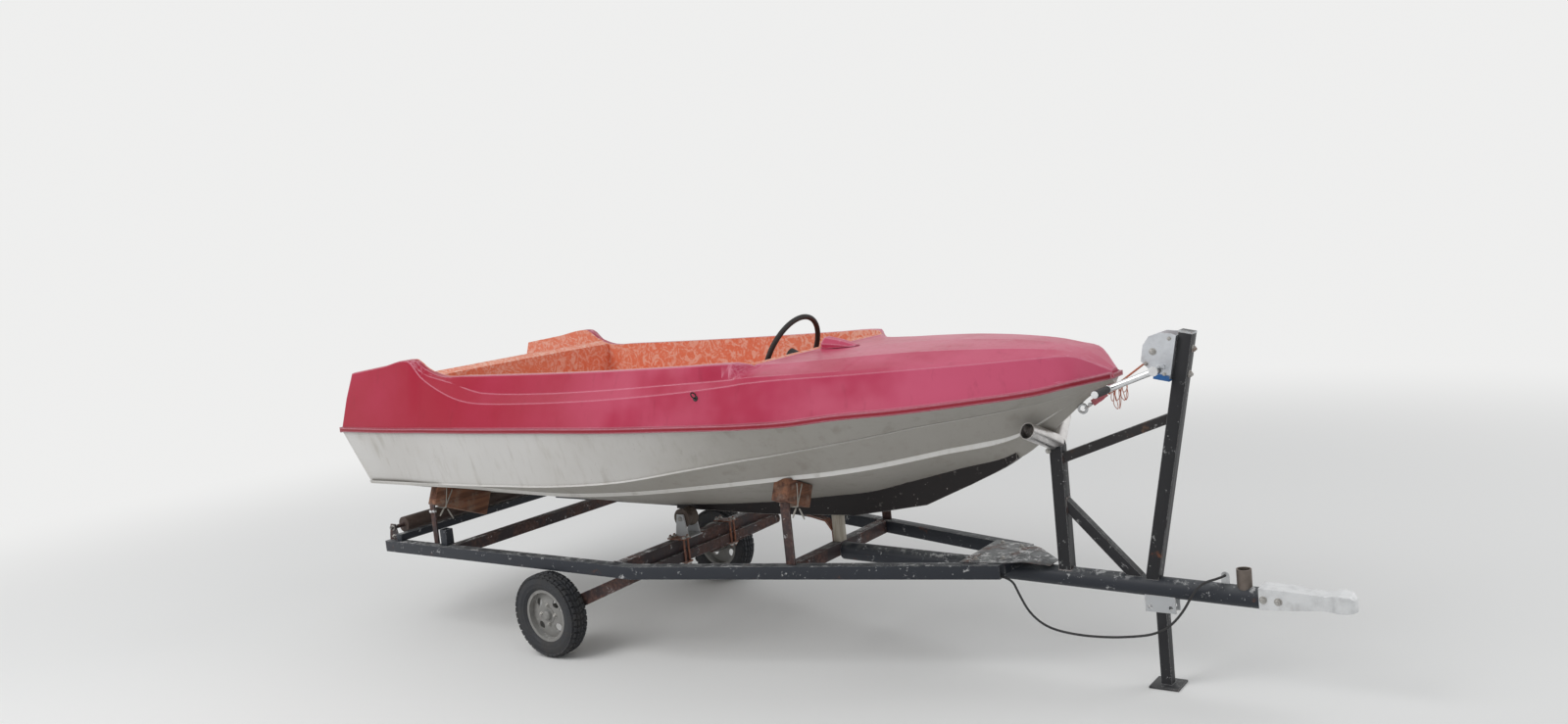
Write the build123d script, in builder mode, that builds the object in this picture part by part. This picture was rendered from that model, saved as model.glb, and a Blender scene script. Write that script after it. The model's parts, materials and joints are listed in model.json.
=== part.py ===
"""Small decked speedboat on a single-axle A-frame road trailer, millimetres, +X forward, +Z up."""

import math
import os

from build123d import *

os.makedirs("parts", exist_ok=True)

# Overall datums: the origin is on the ground, halfway from the stern rail to the coupling's nose.
LENGTH = 4658
STERN_X = -LENGTH / 2
NOSE_X = LENGTH / 2
AXLE_X = STERN_X + 1372  # wheel centres

# Trailer frame.
RAIL_TOP = 454
RAIL_H = 56
RAIL_W = 50
RAIL_WALL = 4
RAIL_BOTTOM = RAIL_TOP - RAIL_H
FRAME_HALF = 615  # outer face of the side rails
FRAME_REAR_X = AXLE_X - 1196
RAIL_BEND_X = AXLE_X + 517
RAIL_FRONT_X = AXLE_X + 2048
RAIL_FRONT_HALF = 160  # outer face of the rails at their front ends
CROSS_W = 50
CROSS_REAR_X = AXLE_X - 715
CROSS_MID_X = AXLE_X + 415
CROSS_FRONT_X = AXLE_X + 1205

# Drawbar.
TUBE_R = 38
TUBE_WALL = 4
TUBE_SLOPE = math.radians(1.5)  # falls towards the coupling
TUBE_REAR_X = CROSS_FRONT_X + CROSS_W / 2
TUBE_FRONT_X = NOSE_X - 276
TUBE_REF_Z = 391  # height of the axis at the rails' front ends

# Wheels.
TYRE_R = 195
TYRE_W = 94
RIM_R = 112
RIM_W = 66
TRACK_HALF = 622
STUB_R = 14

# Boat.
JOINT_H = 13  # half of the rub rail's height
RAIL_PROUD = 12  # how far the rub rail stands out
SKIN = 6  # moulded liner thickness
COCKPIT_AFT_X = AXLE_X - 610
COCKPIT_FORE_X = AXLE_X + 1220
WELL_FORE_X = AXLE_X - 660
WELL_HALF = 578
WELL_FLOOR = 950
TRANSOM_TOP = 1078
TRANSOM_FORE_X = AXLE_X - 1315
BACKREST_TOP = 1297

# Steering.
HELM_X = AXLE_X + 942
HELM_Y = 150
HELM_Z = 1256
HELM_TILT = 25
WHEEL_R = 200
GRIP_R = 12

GAP = 0.2  # seating clearance between separate pieces


def tube_z(x):
    """Height of the drawbar's axis at x."""
    return TUBE_REF_Z - math.tan(TUBE_SLOPE) * (x - RAIL_FRONT_X)


# Hull sections: distance ahead of the axle, keel z, spray rail y z, chine y z, rub rail y z.
HULL = [
    (-1400, 570, 585, 751, 598, 757, 658, 1028),
    (-1000, 570, 597, 755, 610, 763, 680, 1031),
    (-787, 570, 600, 757, 618, 767, 687, 1034),
    (-700, 570, 600, 757, 620, 769, 689, 1036),
    (-584, 570, 597, 757, 625, 772, 692, 1037),
    (-430, 569, 588, 754, 629, 775, 696, 1039),
    (-270, 568, 570, 744, 630, 779, 699, 1041),
    (130, 564, 534, 730, 630, 792, 701, 1047),
    (530, 582, 489, 745, 613, 823, 694, 1051),
    (900, 611, 428, 775, 585, 881, 668, 1057),
    (1170, 644, 374, 800, 540, 922, 640, 1061),
    (1240, 653, 355, 806, 525, 931, 632, 1063),
    (1420, 678, 308, 820, 481, 957, 596, 1069),
    (1620, 729, 243, 845, 419, 988, 553, 1088),
    (1850, 787, 160, 885, 331, 1026, 486, 1099),
    (2110, 851, 65, 932, 200, 1057, 377, 1116),
    (2300, 1000, 45, 1040, 112, 1090, 272, 1130),
    (2410, 1092, 22, 1108, 52, 1120, 185, 1147),
    (2505, 1135, 10, 1140, 18, 1147, 32, 1155),
]

# Deck sections at the same stations: knuckle y z, fillet y z, coaming y z, crown z.
DECK = [
    (616, 1310, 606, 1313, 598, 1314, 1317),
    (628, 1354, 616, 1357, 600, 1358, 1361),
    (633, 1378, 620, 1381, 600, 1382, 1385),
    (640, 1305, 622, 1318, 600, 1333, 1336),
    (652, 1249, 622, 1287, 600, 1297, 1300),
    (661, 1197, 624, 1250, 600, 1296, 1299),
    (665, 1176, 626, 1218, 600, 1296, 1299),
    (667, 1177, 628, 1213, 600, 1298, 1301),
    (662, 1190, 630, 1226, 600, 1303, 1306),
    (640, 1211, 612, 1243, 590, 1311, 1314),
    (606, 1233, 586, 1255, 568, 1316, 1319),
    (592, 1241, 572, 1262, 450, 1296, 1299),
    (557, 1250, 530, 1264, 380, 1296, 1303),
    (505, 1253, 475, 1266, 330, 1303, 1313),
    (430, 1257, 400, 1268, 275, 1307, 1318),
    (322, 1260, 296, 1269, 200, 1300, 1311),
    (222, 1262, 200, 1268, 130, 1284, 1289),
    (130, 1252, 112, 1254, 70, 1256, 1259),
    (28, 1184, 24, 1188, 14, 1191, 1194),
]

# Stern profile, x ahead of the axle and z: raked transom, rub rail band, fins leaning forward.
STERN_LINE = [(-1165, 500), (-1360, 1028), (-1360, 1054), (-1322, 1200), (-1270, 1330), (-1262, 1450)]


def mirrored(points):
    """Closes a half section, given from the keel up to the crown, across the centreplane."""
    return points + [(-y, z) for y, z in reversed(points) if y > 0]


def section_faces(sections):
    """Faces for (x, points) sections in planes across the boat."""
    faces = []
    for x, points in sections:
        with BuildSketch(Plane.YZ.offset(x)) as section:
            with BuildLine():
                Polyline(*points, close=True)
            make_face()
        faces.append(section.sketch.face())
    return faces


def side_face(points, y):
    """Face for an (x, z) outline in the plane at y, to be extruded towards -Y."""
    with BuildSketch(Plane.XZ.offset(-y)) as outline:
        with BuildLine():
            Polyline(*points, close=True)
        make_face()
    return outline.sketch.face()


def hull_section(row):
    """Hull section from keel, spray rail and chine up to the joint with the deck."""
    x, keel_z, spray_y, spray_z, chine_y, chine_z, rub_y, rub_z = row
    half = [(0, keel_z), (spray_y, spray_z), (chine_y, chine_z), (rub_y, rub_z), (rub_y, rub_z + JOINT_H)]
    return AXLE_X + x, mirrored(half)


def deck_section(row, top):
    """Deck section from the joint up over knuckle, fillet and coaming to the crown."""
    knuckle_y, knuckle_z, fillet_y, fillet_z, coaming_y, coaming_z, crown_z = top
    rub_y, rub_z = row[6], row[7]
    half = [
        (rub_y, rub_z + JOINT_H),
        (rub_y, rub_z + 2 * JOINT_H),
        (knuckle_y, knuckle_z),
        (fillet_y, fillet_z),
        (coaming_y, coaming_z),
        (0, crown_z),
    ]
    return AXLE_X + row[0], mirrored(half)


with BuildPart() as stern_keep:
    rear_line = [(AXLE_X + x, z) for x, z in STERN_LINE]
    extrude(side_face([*rear_line, (NOSE_X, 1450), (NOSE_X, 500)], 900), amount=1800)

with BuildPart() as hull_form:
    hull_faces = section_faces([hull_section(row) for row in HULL])
    loft(hull_faces, ruled=True)
    add(stern_keep.part, mode=Mode.INTERSECT)

with BuildPart() as deck_form:
    deck_faces = section_faces([deck_section(row, top) for row, top in zip(HULL, DECK)])
    loft(deck_faces, ruled=True)
    add(stern_keep.part, mode=Mode.INTERSECT)

with BuildPart() as boat_form:
    add(hull_form.part)
    add(deck_form.part)

# Cockpit tub: distance ahead of the axle, floor y z, side y z, top y.
TUB = [
    (-660, 500, 800, 560, 950, 572),
    (400, 500, 800, 560, 950, 572),
    (900, 400, 806, 520, 960, 566),
    (1170, 320, 825, 455, 985, 545),
    (1220, 300, 830, 435, 990, 520),
]
# Foot tunnel under the foredeck: distance ahead of the axle, floor y z, side y z.
TUNNEL = [(1200, 290, 838, 415, 990), (1750, 110, 905, 250, 1030)]
TUNNEL_TOP = 1075


def tub_section(row, inset):
    """Half section of the cockpit tub, moved inwards by the skin."""
    _, floor_y, floor_z, side_y, side_z, top_y = row
    return [(floor_y - inset, floor_z + inset), (side_y - inset, side_z + inset * 0.4), (top_y - inset, 1450)]


def tub_faces(inset, aft, fore):
    """Sections of the cockpit tub between two distances ahead of the axle."""
    rows = [row for row in TUB if aft < row[0] < fore]
    rows = [(aft, *TUB[0][1:]), *rows, (fore, *TUB[-1][1:])]
    return section_faces([(AXLE_X + row[0], mirrored(tub_section(row, inset))) for row in rows])


def tunnel_faces(inset):
    """Sections of the foot tunnel, moved inwards by the skin."""
    sections = []
    for x, floor_y, floor_z, side_y, side_z in TUNNEL:
        half = [
            (floor_y - inset, floor_z + inset),
            (side_y - inset, side_z + inset * 0.4),
            (side_y - inset, TUNNEL_TOP - inset),
        ]
        sections.append((AXLE_X + x - (inset if x > 1500 else 0), mirrored(half)))
    return section_faces(sections)


def well_face(inset):
    """Outline of the stern well, open above and through the stern over the transom."""
    outline = [
        (AXLE_X - 1275 + inset, WELL_FLOOR + inset),
        (WELL_FORE_X - inset, WELL_FLOOR + inset),
        (WELL_FORE_X - inset, 1500),
        (AXLE_X - 1500, 1500),
        (AXLE_X - 1500, TRANSOM_TOP),
        (TRANSOM_FORE_X + inset, TRANSOM_TOP),
    ]
    return side_face(outline, WELL_HALF - inset)


with BuildPart() as tub_outer:
    loft(tub_faces(0, -610, 1220), ruled=True)
    loft(tunnel_faces(0), ruled=True)

with BuildPart() as tub_inner:
    loft(tub_faces(SKIN, -610, 1220 - SKIN), ruled=True)
    loft(tunnel_faces(SKIN), ruled=True)

with BuildPart() as well_outer:
    extrude(well_face(0), amount=2 * WELL_HALF)

with BuildPart() as well_inner:
    extrude(well_face(SKIN), amount=2 * (WELL_HALF - SKIN))

# Backrest bulkhead between the stern well and the cockpit.
with BuildPart() as backrest_bulkhead:
    bulkhead_depth = COCKPIT_AFT_X - WELL_FORE_X
    extrude(section_faces([(WELL_FORE_X, mirrored(tub_section(TUB[0], 0)))])[0], amount=bulkhead_depth)
    add(boat_form.part, mode=Mode.INTERSECT)
backrest_bulkhead.part.label = "backrest_bulkhead"
export_step(backrest_bulkhead.part, "parts/backrest_bulkhead.step")

# The boat's mouldings.
with BuildPart() as hull_shell:
    add(hull_form.part)
    add(tub_outer.part, mode=Mode.SUBTRACT)
    add(well_outer.part, mode=Mode.SUBTRACT)
    add(backrest_bulkhead.part, mode=Mode.SUBTRACT)
hull_shell.part.label = "hull_shell"
export_step(hull_shell.part, "parts/hull_shell.step")

with BuildPart() as deck_moulding:
    add(deck_form.part)
    add(tub_outer.part, mode=Mode.SUBTRACT)
    add(well_outer.part, mode=Mode.SUBTRACT)
    add(backrest_bulkhead.part, mode=Mode.SUBTRACT)
deck_moulding.part.label = "deck_moulding"
export_step(deck_moulding.part, "parts/deck_moulding.step")

with BuildPart() as cockpit_liner:
    add(tub_outer.part)
    add(tub_inner.part, mode=Mode.SUBTRACT)
    add(boat_form.part, mode=Mode.INTERSECT)
cockpit_liner.part.label = "cockpit_liner"
export_step(cockpit_liner.part, "parts/cockpit_liner.step")

with BuildPart() as stern_well_liner:
    add(well_outer.part)
    add(well_inner.part, mode=Mode.SUBTRACT)
    add(boat_form.part, mode=Mode.INTERSECT)
    with Locations((TRANSOM_FORE_X, 0, TRANSOM_TOP)):
        Box(200, 2 * WELL_HALF + 2, 600, align=(Align.MAX, Align.CENTER, Align.MIN), mode=Mode.SUBTRACT)
stern_well_liner.part.label = "stern_well_liner"
export_step(stern_well_liner.part, "parts/stern_well_liner.step")

# Rub rail round the boat's joint, with its stern and nose strips.
with BuildPart() as rub_rail:
    for side in (-1, 1):
        bands = []
        for row in HULL:
            rub_y, rub_z = row[6], row[7]
            band = [
                (side * rub_y, rub_z),
                (side * (rub_y + RAIL_PROUD), rub_z + 4),
                (side * (rub_y + RAIL_PROUD), rub_z + 2 * JOINT_H - 4),
                (side * rub_y, rub_z + 2 * JOINT_H),
            ]
            bands.append((AXLE_X + row[0], band))
        loft(section_faces(bands), ruled=True)
    with Locations((AXLE_X - 1380, 0, HULL[0][7] + JOINT_H)):
        Box(40, 2 * HULL[0][6], 2 * JOINT_H)
    add(stern_keep.part, mode=Mode.INTERSECT)
    with Locations((STERN_X, 0, HULL[0][7] + JOINT_H)):
        Box(RAIL_PROUD, 1340, 2 * JOINT_H, align=(Align.MIN, Align.CENTER, Align.CENTER))
    with Locations((AXLE_X + HULL[-1][0], 0, HULL[-1][7] + JOINT_H)):
        Box(RAIL_PROUD, 2 * (HULL[-1][6] + RAIL_PROUD), 18, align=(Align.MIN, Align.CENTER, Align.CENTER))
    add(boat_form.part, mode=Mode.SUBTRACT)
rub_rail.part.label = "rub_rail"
export_step(rub_rail.part, "parts/rub_rail.step")

# Keel bar: underside from the middle of the boat up the forefoot.
KEEL_W = 50
KEEL_LINE = [(300, 559), (852, 559), (1319, 578), (1676, 641), (1883, 733), (2095, 846)]
KEEL_BACK = [(2095, 880), (1883, 830), (1600, 770), (1300, 700), (900, 650), (300, 600)]
with BuildPart() as keel_bar:
    keel_outline = [(AXLE_X + x, z) for x, z in KEEL_LINE + KEEL_BACK]
    extrude(side_face(keel_outline, KEEL_W / 2), amount=KEEL_W)
    add(hull_form.part, mode=Mode.SUBTRACT)
keel_bar.part.label = "keel_bar"
export_step(keel_bar.part, "parts/keel_bar.step")

# Bow eye on the stem.
EYE_X = AXLE_X + 2370
EYE_Z = 1040
with BuildPart() as bow_eye:
    with BuildSketch(Plane.XY.offset(EYE_Z)):
        with Locations((EYE_X + 16, 0)):
            Circle(5)
    revolve(axis=Axis((EYE_X, 0, EYE_Z), (0, 1, 0)))
    add(hull_form.part, mode=Mode.SUBTRACT)
bow_eye.part.label = "bow_eye"
export_step(bow_eye.part, "parts/bow_eye.step")

# Seats across the cockpit: name, rear and front ahead of the axle, top.
SEATS = [("rear_bench", -604, -150, 1000), ("front_bench", 200, 600, 1010)]
for name, rear_x, front_x, top_z in SEATS:
    with BuildPart() as bench:
        with Locations((AXLE_X + rear_x, 0, 700)):
            Box(front_x - rear_x, 1200, top_z - 700, align=(Align.MIN, Align.CENTER, Align.MIN))
        add(tub_inner.part, mode=Mode.INTERSECT)
        fillet(bench.edges().filter_by(Axis.Y).sort_by(Axis.Z)[-2:], 40)
    bench.part.label = name
    export_step(bench.part, f"parts/{name}.step")

# Dashboard across the front of the cockpit, over the foot tunnel.
DASH_X = COCKPIT_FORE_X - SKIN - 8
COLUMN_R = 20
SHAFT_R = 8
tilt = math.radians(HELM_TILT)
helm_plane = Plane(
    origin=(HELM_X, HELM_Y, HELM_Z),
    x_dir=(0, 1, 0),
    z_dir=(math.cos(tilt), 0, -math.sin(tilt)),
)
COLUMN_LENGTH = (DASH_X - HELM_X) / math.cos(tilt)

with BuildPart() as steering_column:
    with BuildSketch(helm_plane.offset(35)):
        Circle(COLUMN_R)
    extrude(amount=COLUMN_LENGTH + 20)
    with BuildSketch(helm_plane.offset(COLUMN_LENGTH - 45)):
        Circle(COLUMN_R + 14)
    extrude(amount=70)
    with BuildSketch(helm_plane.offset(35)):
        Circle(SHAFT_R + GAP)
    extrude(amount=90, mode=Mode.SUBTRACT)
    with Locations((DASH_X, HELM_Y, HELM_Z)):
        Box(200, 400, 800, align=(Align.MIN, Align.CENTER, Align.CENTER), mode=Mode.SUBTRACT)
steering_column.part.label = "steering_column"
export_step(steering_column.part, "parts/steering_column.step")

with BuildPart() as dash_panel:
    with Locations((DASH_X, 0, TUNNEL_TOP)):
        Box(8, 1100, 260, align=(Align.MIN, Align.CENTER, Align.MIN))
    add(tub_inner.part, mode=Mode.INTERSECT)
    add(boat_form.part, mode=Mode.INTERSECT)
dash_panel.part.label = "dash_panel"
export_step(dash_panel.part, "parts/dash_panel.step")

with BuildPart() as steering_wheel:
    with BuildSketch(Plane(helm_plane.origin, x_dir=helm_plane.x_dir, z_dir=helm_plane.y_dir)):
        with Locations((WHEEL_R - GRIP_R, 0)):
            Circle(GRIP_R)
    revolve(axis=Axis(helm_plane.origin, helm_plane.z_dir))
    with BuildSketch(helm_plane.offset(-12)):
        Circle(30)
    extrude(amount=42)
    with BuildSketch(helm_plane.offset(-3)):
        for turn in (-10, 190, 270):
            with Locations(Rotation(0, 0, turn)):
                with Locations((WHEEL_R / 2, 0)):
                    Rectangle(WHEEL_R - GRIP_R, 24)
    extrude(amount=6)
    with BuildSketch(helm_plane):
        Circle(SHAFT_R)
    extrude(amount=100)
steering_wheel.part.label = "steering_wheel"
export_step(steering_wheel.part, "parts/steering_wheel.step")

# Small cowl on the foredeck's rear edge, near the middle of the boat.
COWL = [
    (1224, [(-24, 1270), (-20, 1322), (8, 1345), (50, 1347), (88, 1326), (94, 1270)]),
    (1300, [(-8, 1270), (-4, 1314), (18, 1329), (50, 1330), (78, 1315), (84, 1270)]),
    (1370, [(10, 1270), (13, 1300), (26, 1306), (48, 1307), (64, 1301), (68, 1270)]),
]
with BuildPart() as helm_cowl:
    loft(section_faces([(AXLE_X + x, points) for x, points in COWL]), ruled=True)
    add(boat_form.part, mode=Mode.SUBTRACT)
helm_cowl.part.label = "helm_cowl"
export_step(helm_cowl.part, "parts/helm_cowl.step")

# Side rails of the trailer, parallel beside the wheels and converging to the drawbar.
SIDES = [("near", -1), ("far", 1)]
RAIL_TURN = math.atan2(FRAME_HALF - RAIL_FRONT_HALF, RAIL_FRONT_X - RAIL_BEND_X)


def rail_edge(depth):
    """Plan points along a side rail, at a depth in from its outer face."""
    return [
        (FRAME_REAR_X, FRAME_HALF - depth),
        (RAIL_BEND_X - depth * math.tan(RAIL_TURN / 2), FRAME_HALF - depth),
        (RAIL_FRONT_X, RAIL_FRONT_HALF - depth / math.cos(RAIL_TURN)),
    ]


def rail_inner(x):
    """Inner face of the side rails at x."""
    converging = FRAME_HALF - math.tan(RAIL_TURN) * (x - RAIL_BEND_X) - RAIL_W / math.cos(RAIL_TURN)
    return min(FRAME_HALF - RAIL_W, converging)


def plan_face(points, z):
    """Level face for a plan outline, to be extruded upwards."""
    with BuildSketch(Plane.XY.offset(z)) as outline:
        with BuildLine():
            Polyline(*points, close=True)
        make_face()
    return outline.sketch.face()


def cross_outline(x, width):
    """Plan outline of a member spanning between the side rails."""
    ends = [x - width / 2, x + width / 2]
    near = [(end, -rail_inner(end)) for end in ends]
    return near + [(end, -y) for end, y in reversed(near)]


for name, side in SIDES:
    with BuildPart() as side_rail:
        outer = rail_edge(0) + rail_edge(RAIL_W)[::-1]
        inner = rail_edge(RAIL_WALL) + rail_edge(RAIL_W - RAIL_WALL)[::-1]
        extrude(plan_face([(x, side * y) for x, y in outer], RAIL_BOTTOM), amount=RAIL_H)
        bore = plan_face([(x, side * y) for x, y in inner], RAIL_BOTTOM + RAIL_WALL)
        extrude(bore, amount=RAIL_H - 2 * RAIL_WALL, mode=Mode.SUBTRACT)
    side_rail.part.label = f"side_rail_{name}"
    export_step(side_rail.part, f"parts/side_rail_{name}.step")

# Members across the frame between the side rails.
with BuildPart() as crossmembers:
    for x in (CROSS_REAR_X, CROSS_MID_X, CROSS_FRONT_X):
        extrude(plan_face(cross_outline(x, CROSS_W), RAIL_BOTTOM), amount=RAIL_H)
        with Locations((x, 0, RAIL_BOTTOM + RAIL_H / 2)):
            Box(CROSS_W - 2 * RAIL_WALL, 1300, RAIL_H - 2 * RAIL_WALL, mode=Mode.SUBTRACT)
crossmembers.part.label = "crossmembers"
export_step(crossmembers.part, "parts/crossmembers.step")

# Bar across the rear ends of the side rails, and the loading roller behind it.
REAR_BAR_X = AXLE_X - 1098
ROLLER_X = AXLE_X - 1155
ROLLER_Z = 518
ROLLER_R = 40
ROLLER_HALF = 520
SPINDLE_R = 10
with BuildPart() as rear_cross_bar:
    with Locations((REAR_BAR_X, 0, RAIL_TOP)):
        Box(40, 1200, 36, align=(Align.CENTER, Align.CENTER, Align.MIN))
rear_cross_bar.part.label = "rear_cross_bar"
export_step(rear_cross_bar.part, "parts/rear_cross_bar.step")

with BuildPart() as rear_roller_mount:
    bracket = [(-36, RAIL_TOP), (36, RAIL_TOP), (36, 470), (18, 536), (-18, 536), (-36, 470)]
    for y in (586, -580):
        extrude(side_face([(ROLLER_X + x, z) for x, z in bracket], y), amount=6)
    with Locations(Location((ROLLER_X, 0, ROLLER_Z), (90, 0, 0))):
        Cylinder(SPINDLE_R, 1200)
rear_roller_mount.part.label = "rear_roller_mount"
export_step(rear_roller_mount.part, "parts/rear_roller_mount.step")

with BuildPart() as rear_roller:
    with Locations(Location((ROLLER_X, 0, ROLLER_Z), (90, 0, 0))):
        Cylinder(ROLLER_R, 2 * ROLLER_HALF)
        Cylinder(SPINDLE_R + 0.5, 2 * ROLLER_HALF, mode=Mode.SUBTRACT)
rear_roller.part.label = "rear_roller"
export_step(rear_roller.part, "parts/rear_roller.step")

# Keel roller on the middle crossmember, off the centreline.
KEEL_ROLLER_X = CROSS_MID_X + 5
KEEL_ROLLER_Y = -100
KEEL_ROLLER_Z = 541
KEEL_ROLLER_R = 46
with BuildPart() as keel_roller_mount:
    with Locations((KEEL_ROLLER_X, KEEL_ROLLER_Y, RAIL_TOP)):
        Box(104, 88, 5, align=(Align.CENTER, Align.CENTER, Align.MIN))
    cheek = [(-39, RAIL_TOP), (39, RAIL_TOP), (20, 562), (-20, 562)]
    for y in (44, -38):
        extrude(side_face([(KEEL_ROLLER_X + x, z) for x, z in cheek], KEEL_ROLLER_Y + y), amount=6)
    with Locations(Location((KEEL_ROLLER_X, KEEL_ROLLER_Y, KEEL_ROLLER_Z), (90, 0, 0))):
        Cylinder(SPINDLE_R, 100)
keel_roller_mount.part.label = "keel_roller_mount"
export_step(keel_roller_mount.part, "parts/keel_roller_mount.step")

with BuildPart() as keel_roller:
    with BuildSketch(Plane.YZ.offset(KEEL_ROLLER_X)) as roller_outline:
        with BuildLine():
            rim_z = KEEL_ROLLER_Z + KEEL_ROLLER_R
            waist_z = rim_z - 10
            bore_z = KEEL_ROLLER_Z + SPINDLE_R + 0.5
            half = [(33, bore_z), (33, rim_z), (24, rim_z)]
            outline = [(-y, z) for y, z in half] + [(0, waist_z)] + half[::-1]
            Polyline(*[(KEEL_ROLLER_Y + y, z) for y, z in outline], close=True)
        make_face()
    revolve(axis=Axis((KEEL_ROLLER_X, 0, KEEL_ROLLER_Z), (0, 1, 0)))
keel_roller.part.label = "keel_roller"
export_step(keel_roller.part, "parts/keel_roller.step")

# Axle: beam under the middle crossmember with its trailing arms and stubs.
BEAM = 45
BEAM_X = CROSS_MID_X + 20
BEAM_HALF = 530
ARM_W = 30
ARM_FACE = BEAM_HALF + ARM_W
STUB_REACH = 70
with BuildPart() as axle:
    with Locations((BEAM_X, 0, RAIL_BOTTOM)):
        Box(BEAM, 2 * BEAM_HALF, BEAM, align=(Align.CENTER, Align.CENTER, Align.MAX))
    for inner_y in (-ARM_FACE, BEAM_HALF):
        with BuildSketch(Plane.XZ.offset(-inner_y)):
            with Locations((BEAM_X, RAIL_BOTTOM - 27)):
                Circle(26)
            with Locations((AXLE_X, TYRE_R)):
                Circle(30)
            make_hull()
        extrude(amount=-ARM_W)
    for side in (-1, 1):
        with Locations(Location((AXLE_X, side * ARM_FACE, TYRE_R), (-90 * side, 0, 0))):
            Cylinder(STUB_R, STUB_REACH, align=(Align.CENTER, Align.CENTER, Align.MIN))
axle.part.label = "axle"
export_step(axle.part, "parts/axle.step")

# Clamps holding the axle beam up to the middle crossmember.
CLAMP_Y = 170
CLAMP_REAR = CROSS_MID_X - CROSS_W / 2 - 6
CLAMP_FORE = BEAM_X + BEAM / 2 + 6
with BuildPart() as axle_clamps:
    for side in (-1, 1):
        for z in (RAIL_TOP, RAIL_BOTTOM - BEAM - 6):
            with Locations(((CLAMP_REAR + CLAMP_FORE) / 2, side * CLAMP_Y, z)):
                Box(CLAMP_FORE - CLAMP_REAR + 22, 50, 6, align=(Align.CENTER, Align.CENTER, Align.MIN))
        for x in (CLAMP_REAR, CLAMP_FORE):
            for y in (-14, 14):
                with Locations((x, side * CLAMP_Y + y, 332)):
                    Cylinder(5, 142, align=(Align.CENTER, Align.CENTER, Align.MIN))
axle_clamps.part.label = "axle_clamps"
export_step(axle_clamps.part, "parts/axle_clamps.step")

# Wheels: profiles as distance outboard of the tyre's middle and radius.
BEAD_HALF = 30
SHOULDER = (36, 191)
HUB_R = 38
HUB_INNER = ARM_FACE + 6 - TRACK_HALF
STUB_TIP = ARM_FACE + STUB_REACH - TRACK_HALF
WINDOW_R = 19
WINDOW_PITCH = 76
for name, side in SIDES:
    axle_line = Axis((AXLE_X, 0, TYRE_R), (0, 1, 0))

    def at(points):
        """Places (outboard, radius) points in the section plane through the axle."""
        return [(side * (TRACK_HALF + t), TYRE_R + r) for t, r in points]

    with BuildPart() as tyre:
        with BuildSketch(Plane.YZ.offset(AXLE_X)):
            with BuildLine():
                ThreePointArc(*at([(BEAD_HALF, RIM_R + 10), (TYRE_W / 2, 158), SHOULDER]))
                Polyline(*at([SHOULDER, (28, 194)]))
                ThreePointArc(*at([(28, 194), (0, TYRE_R), (-28, 194)]))
                Polyline(*at([(-28, 194), (-SHOULDER[0], SHOULDER[1])]))
                ThreePointArc(*at([(-SHOULDER[0], SHOULDER[1]), (-TYRE_W / 2, 158), (-BEAD_HALF, RIM_R + 10)]))
                Polyline(*at([(-BEAD_HALF, RIM_R + 10), (-BEAD_HALF, RIM_R), (BEAD_HALF, RIM_R),
                              (BEAD_HALF, RIM_R + 10)]))
            make_face()
        revolve(axis=axle_line)
    tyre.part.label = f"tyre_{name}"
    export_step(tyre.part, f"parts/tyre_{name}.step")

    with BuildPart() as wheel_rim:
        half = RIM_W / 2
        with BuildSketch(Plane.YZ.offset(AXLE_X)):
            with BuildLine():
                Polyline(*at([(half, RIM_R + 10), (half, RIM_R - 5), (-half, RIM_R - 5), (-half, RIM_R + 10),
                              (-BEAD_HALF, RIM_R + 10), (-BEAD_HALF, RIM_R), (BEAD_HALF, RIM_R),
                              (BEAD_HALF, RIM_R + 10)]), close=True)
            make_face()
            with BuildLine():
                Polyline(*at([(0, RIM_R - 3), (5, RIM_R - 3), (15, 60), (15, 30), (10, 30), (10, 60)]), close=True)
            make_face()
        revolve(axis=axle_line)
        for turn in range(4):
            angle = math.radians(45 + 90 * turn)
            spot = (AXLE_X + WINDOW_PITCH * math.cos(angle), side * TRACK_HALF, TYRE_R + WINDOW_PITCH * math.sin(angle))
            with Locations(Location(spot, (90, 0, 0))):
                Cylinder(WINDOW_R, 60, mode=Mode.SUBTRACT)
        with BuildSketch(Plane.YZ.offset(AXLE_X)):
            with BuildLine():
                Polyline(*at([(HUB_INNER, 0), (HUB_INNER, HUB_R), (17, HUB_R), (17, 24), (30, 22), (36, 14), (36, 0)]),
                         close=True)
            make_face()
        revolve(axis=axle_line)
        with BuildSketch(Plane.YZ.offset(AXLE_X)):
            with BuildLine():
                Polyline(*at([(HUB_INNER - 1, 0), (HUB_INNER - 1, STUB_R + 0.3), (STUB_TIP + 2, STUB_R + 0.3),
                              (STUB_TIP + 2, 0)]), close=True)
            make_face()
        revolve(axis=axle_line, mode=Mode.SUBTRACT)
    wheel_rim.part.label = f"wheel_rim_{name}"
    export_step(wheel_rim.part, f"parts/wheel_rim_{name}.step")

# Drawbar tube, falling towards the coupling.
tube_plane = Plane(
    origin=(TUBE_REAR_X - 60, 0, tube_z(TUBE_REAR_X - 60)),
    x_dir=(0, 1, 0),
    z_dir=(math.cos(TUBE_SLOPE), 0, -math.sin(TUBE_SLOPE)),
)
TUBE_LENGTH = (TUBE_FRONT_X - TUBE_REAR_X + 60) / math.cos(TUBE_SLOPE)
with BuildPart() as tube_solid:
    with BuildSketch(tube_plane):
        Circle(TUBE_R)
    extrude(amount=TUBE_LENGTH)

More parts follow.
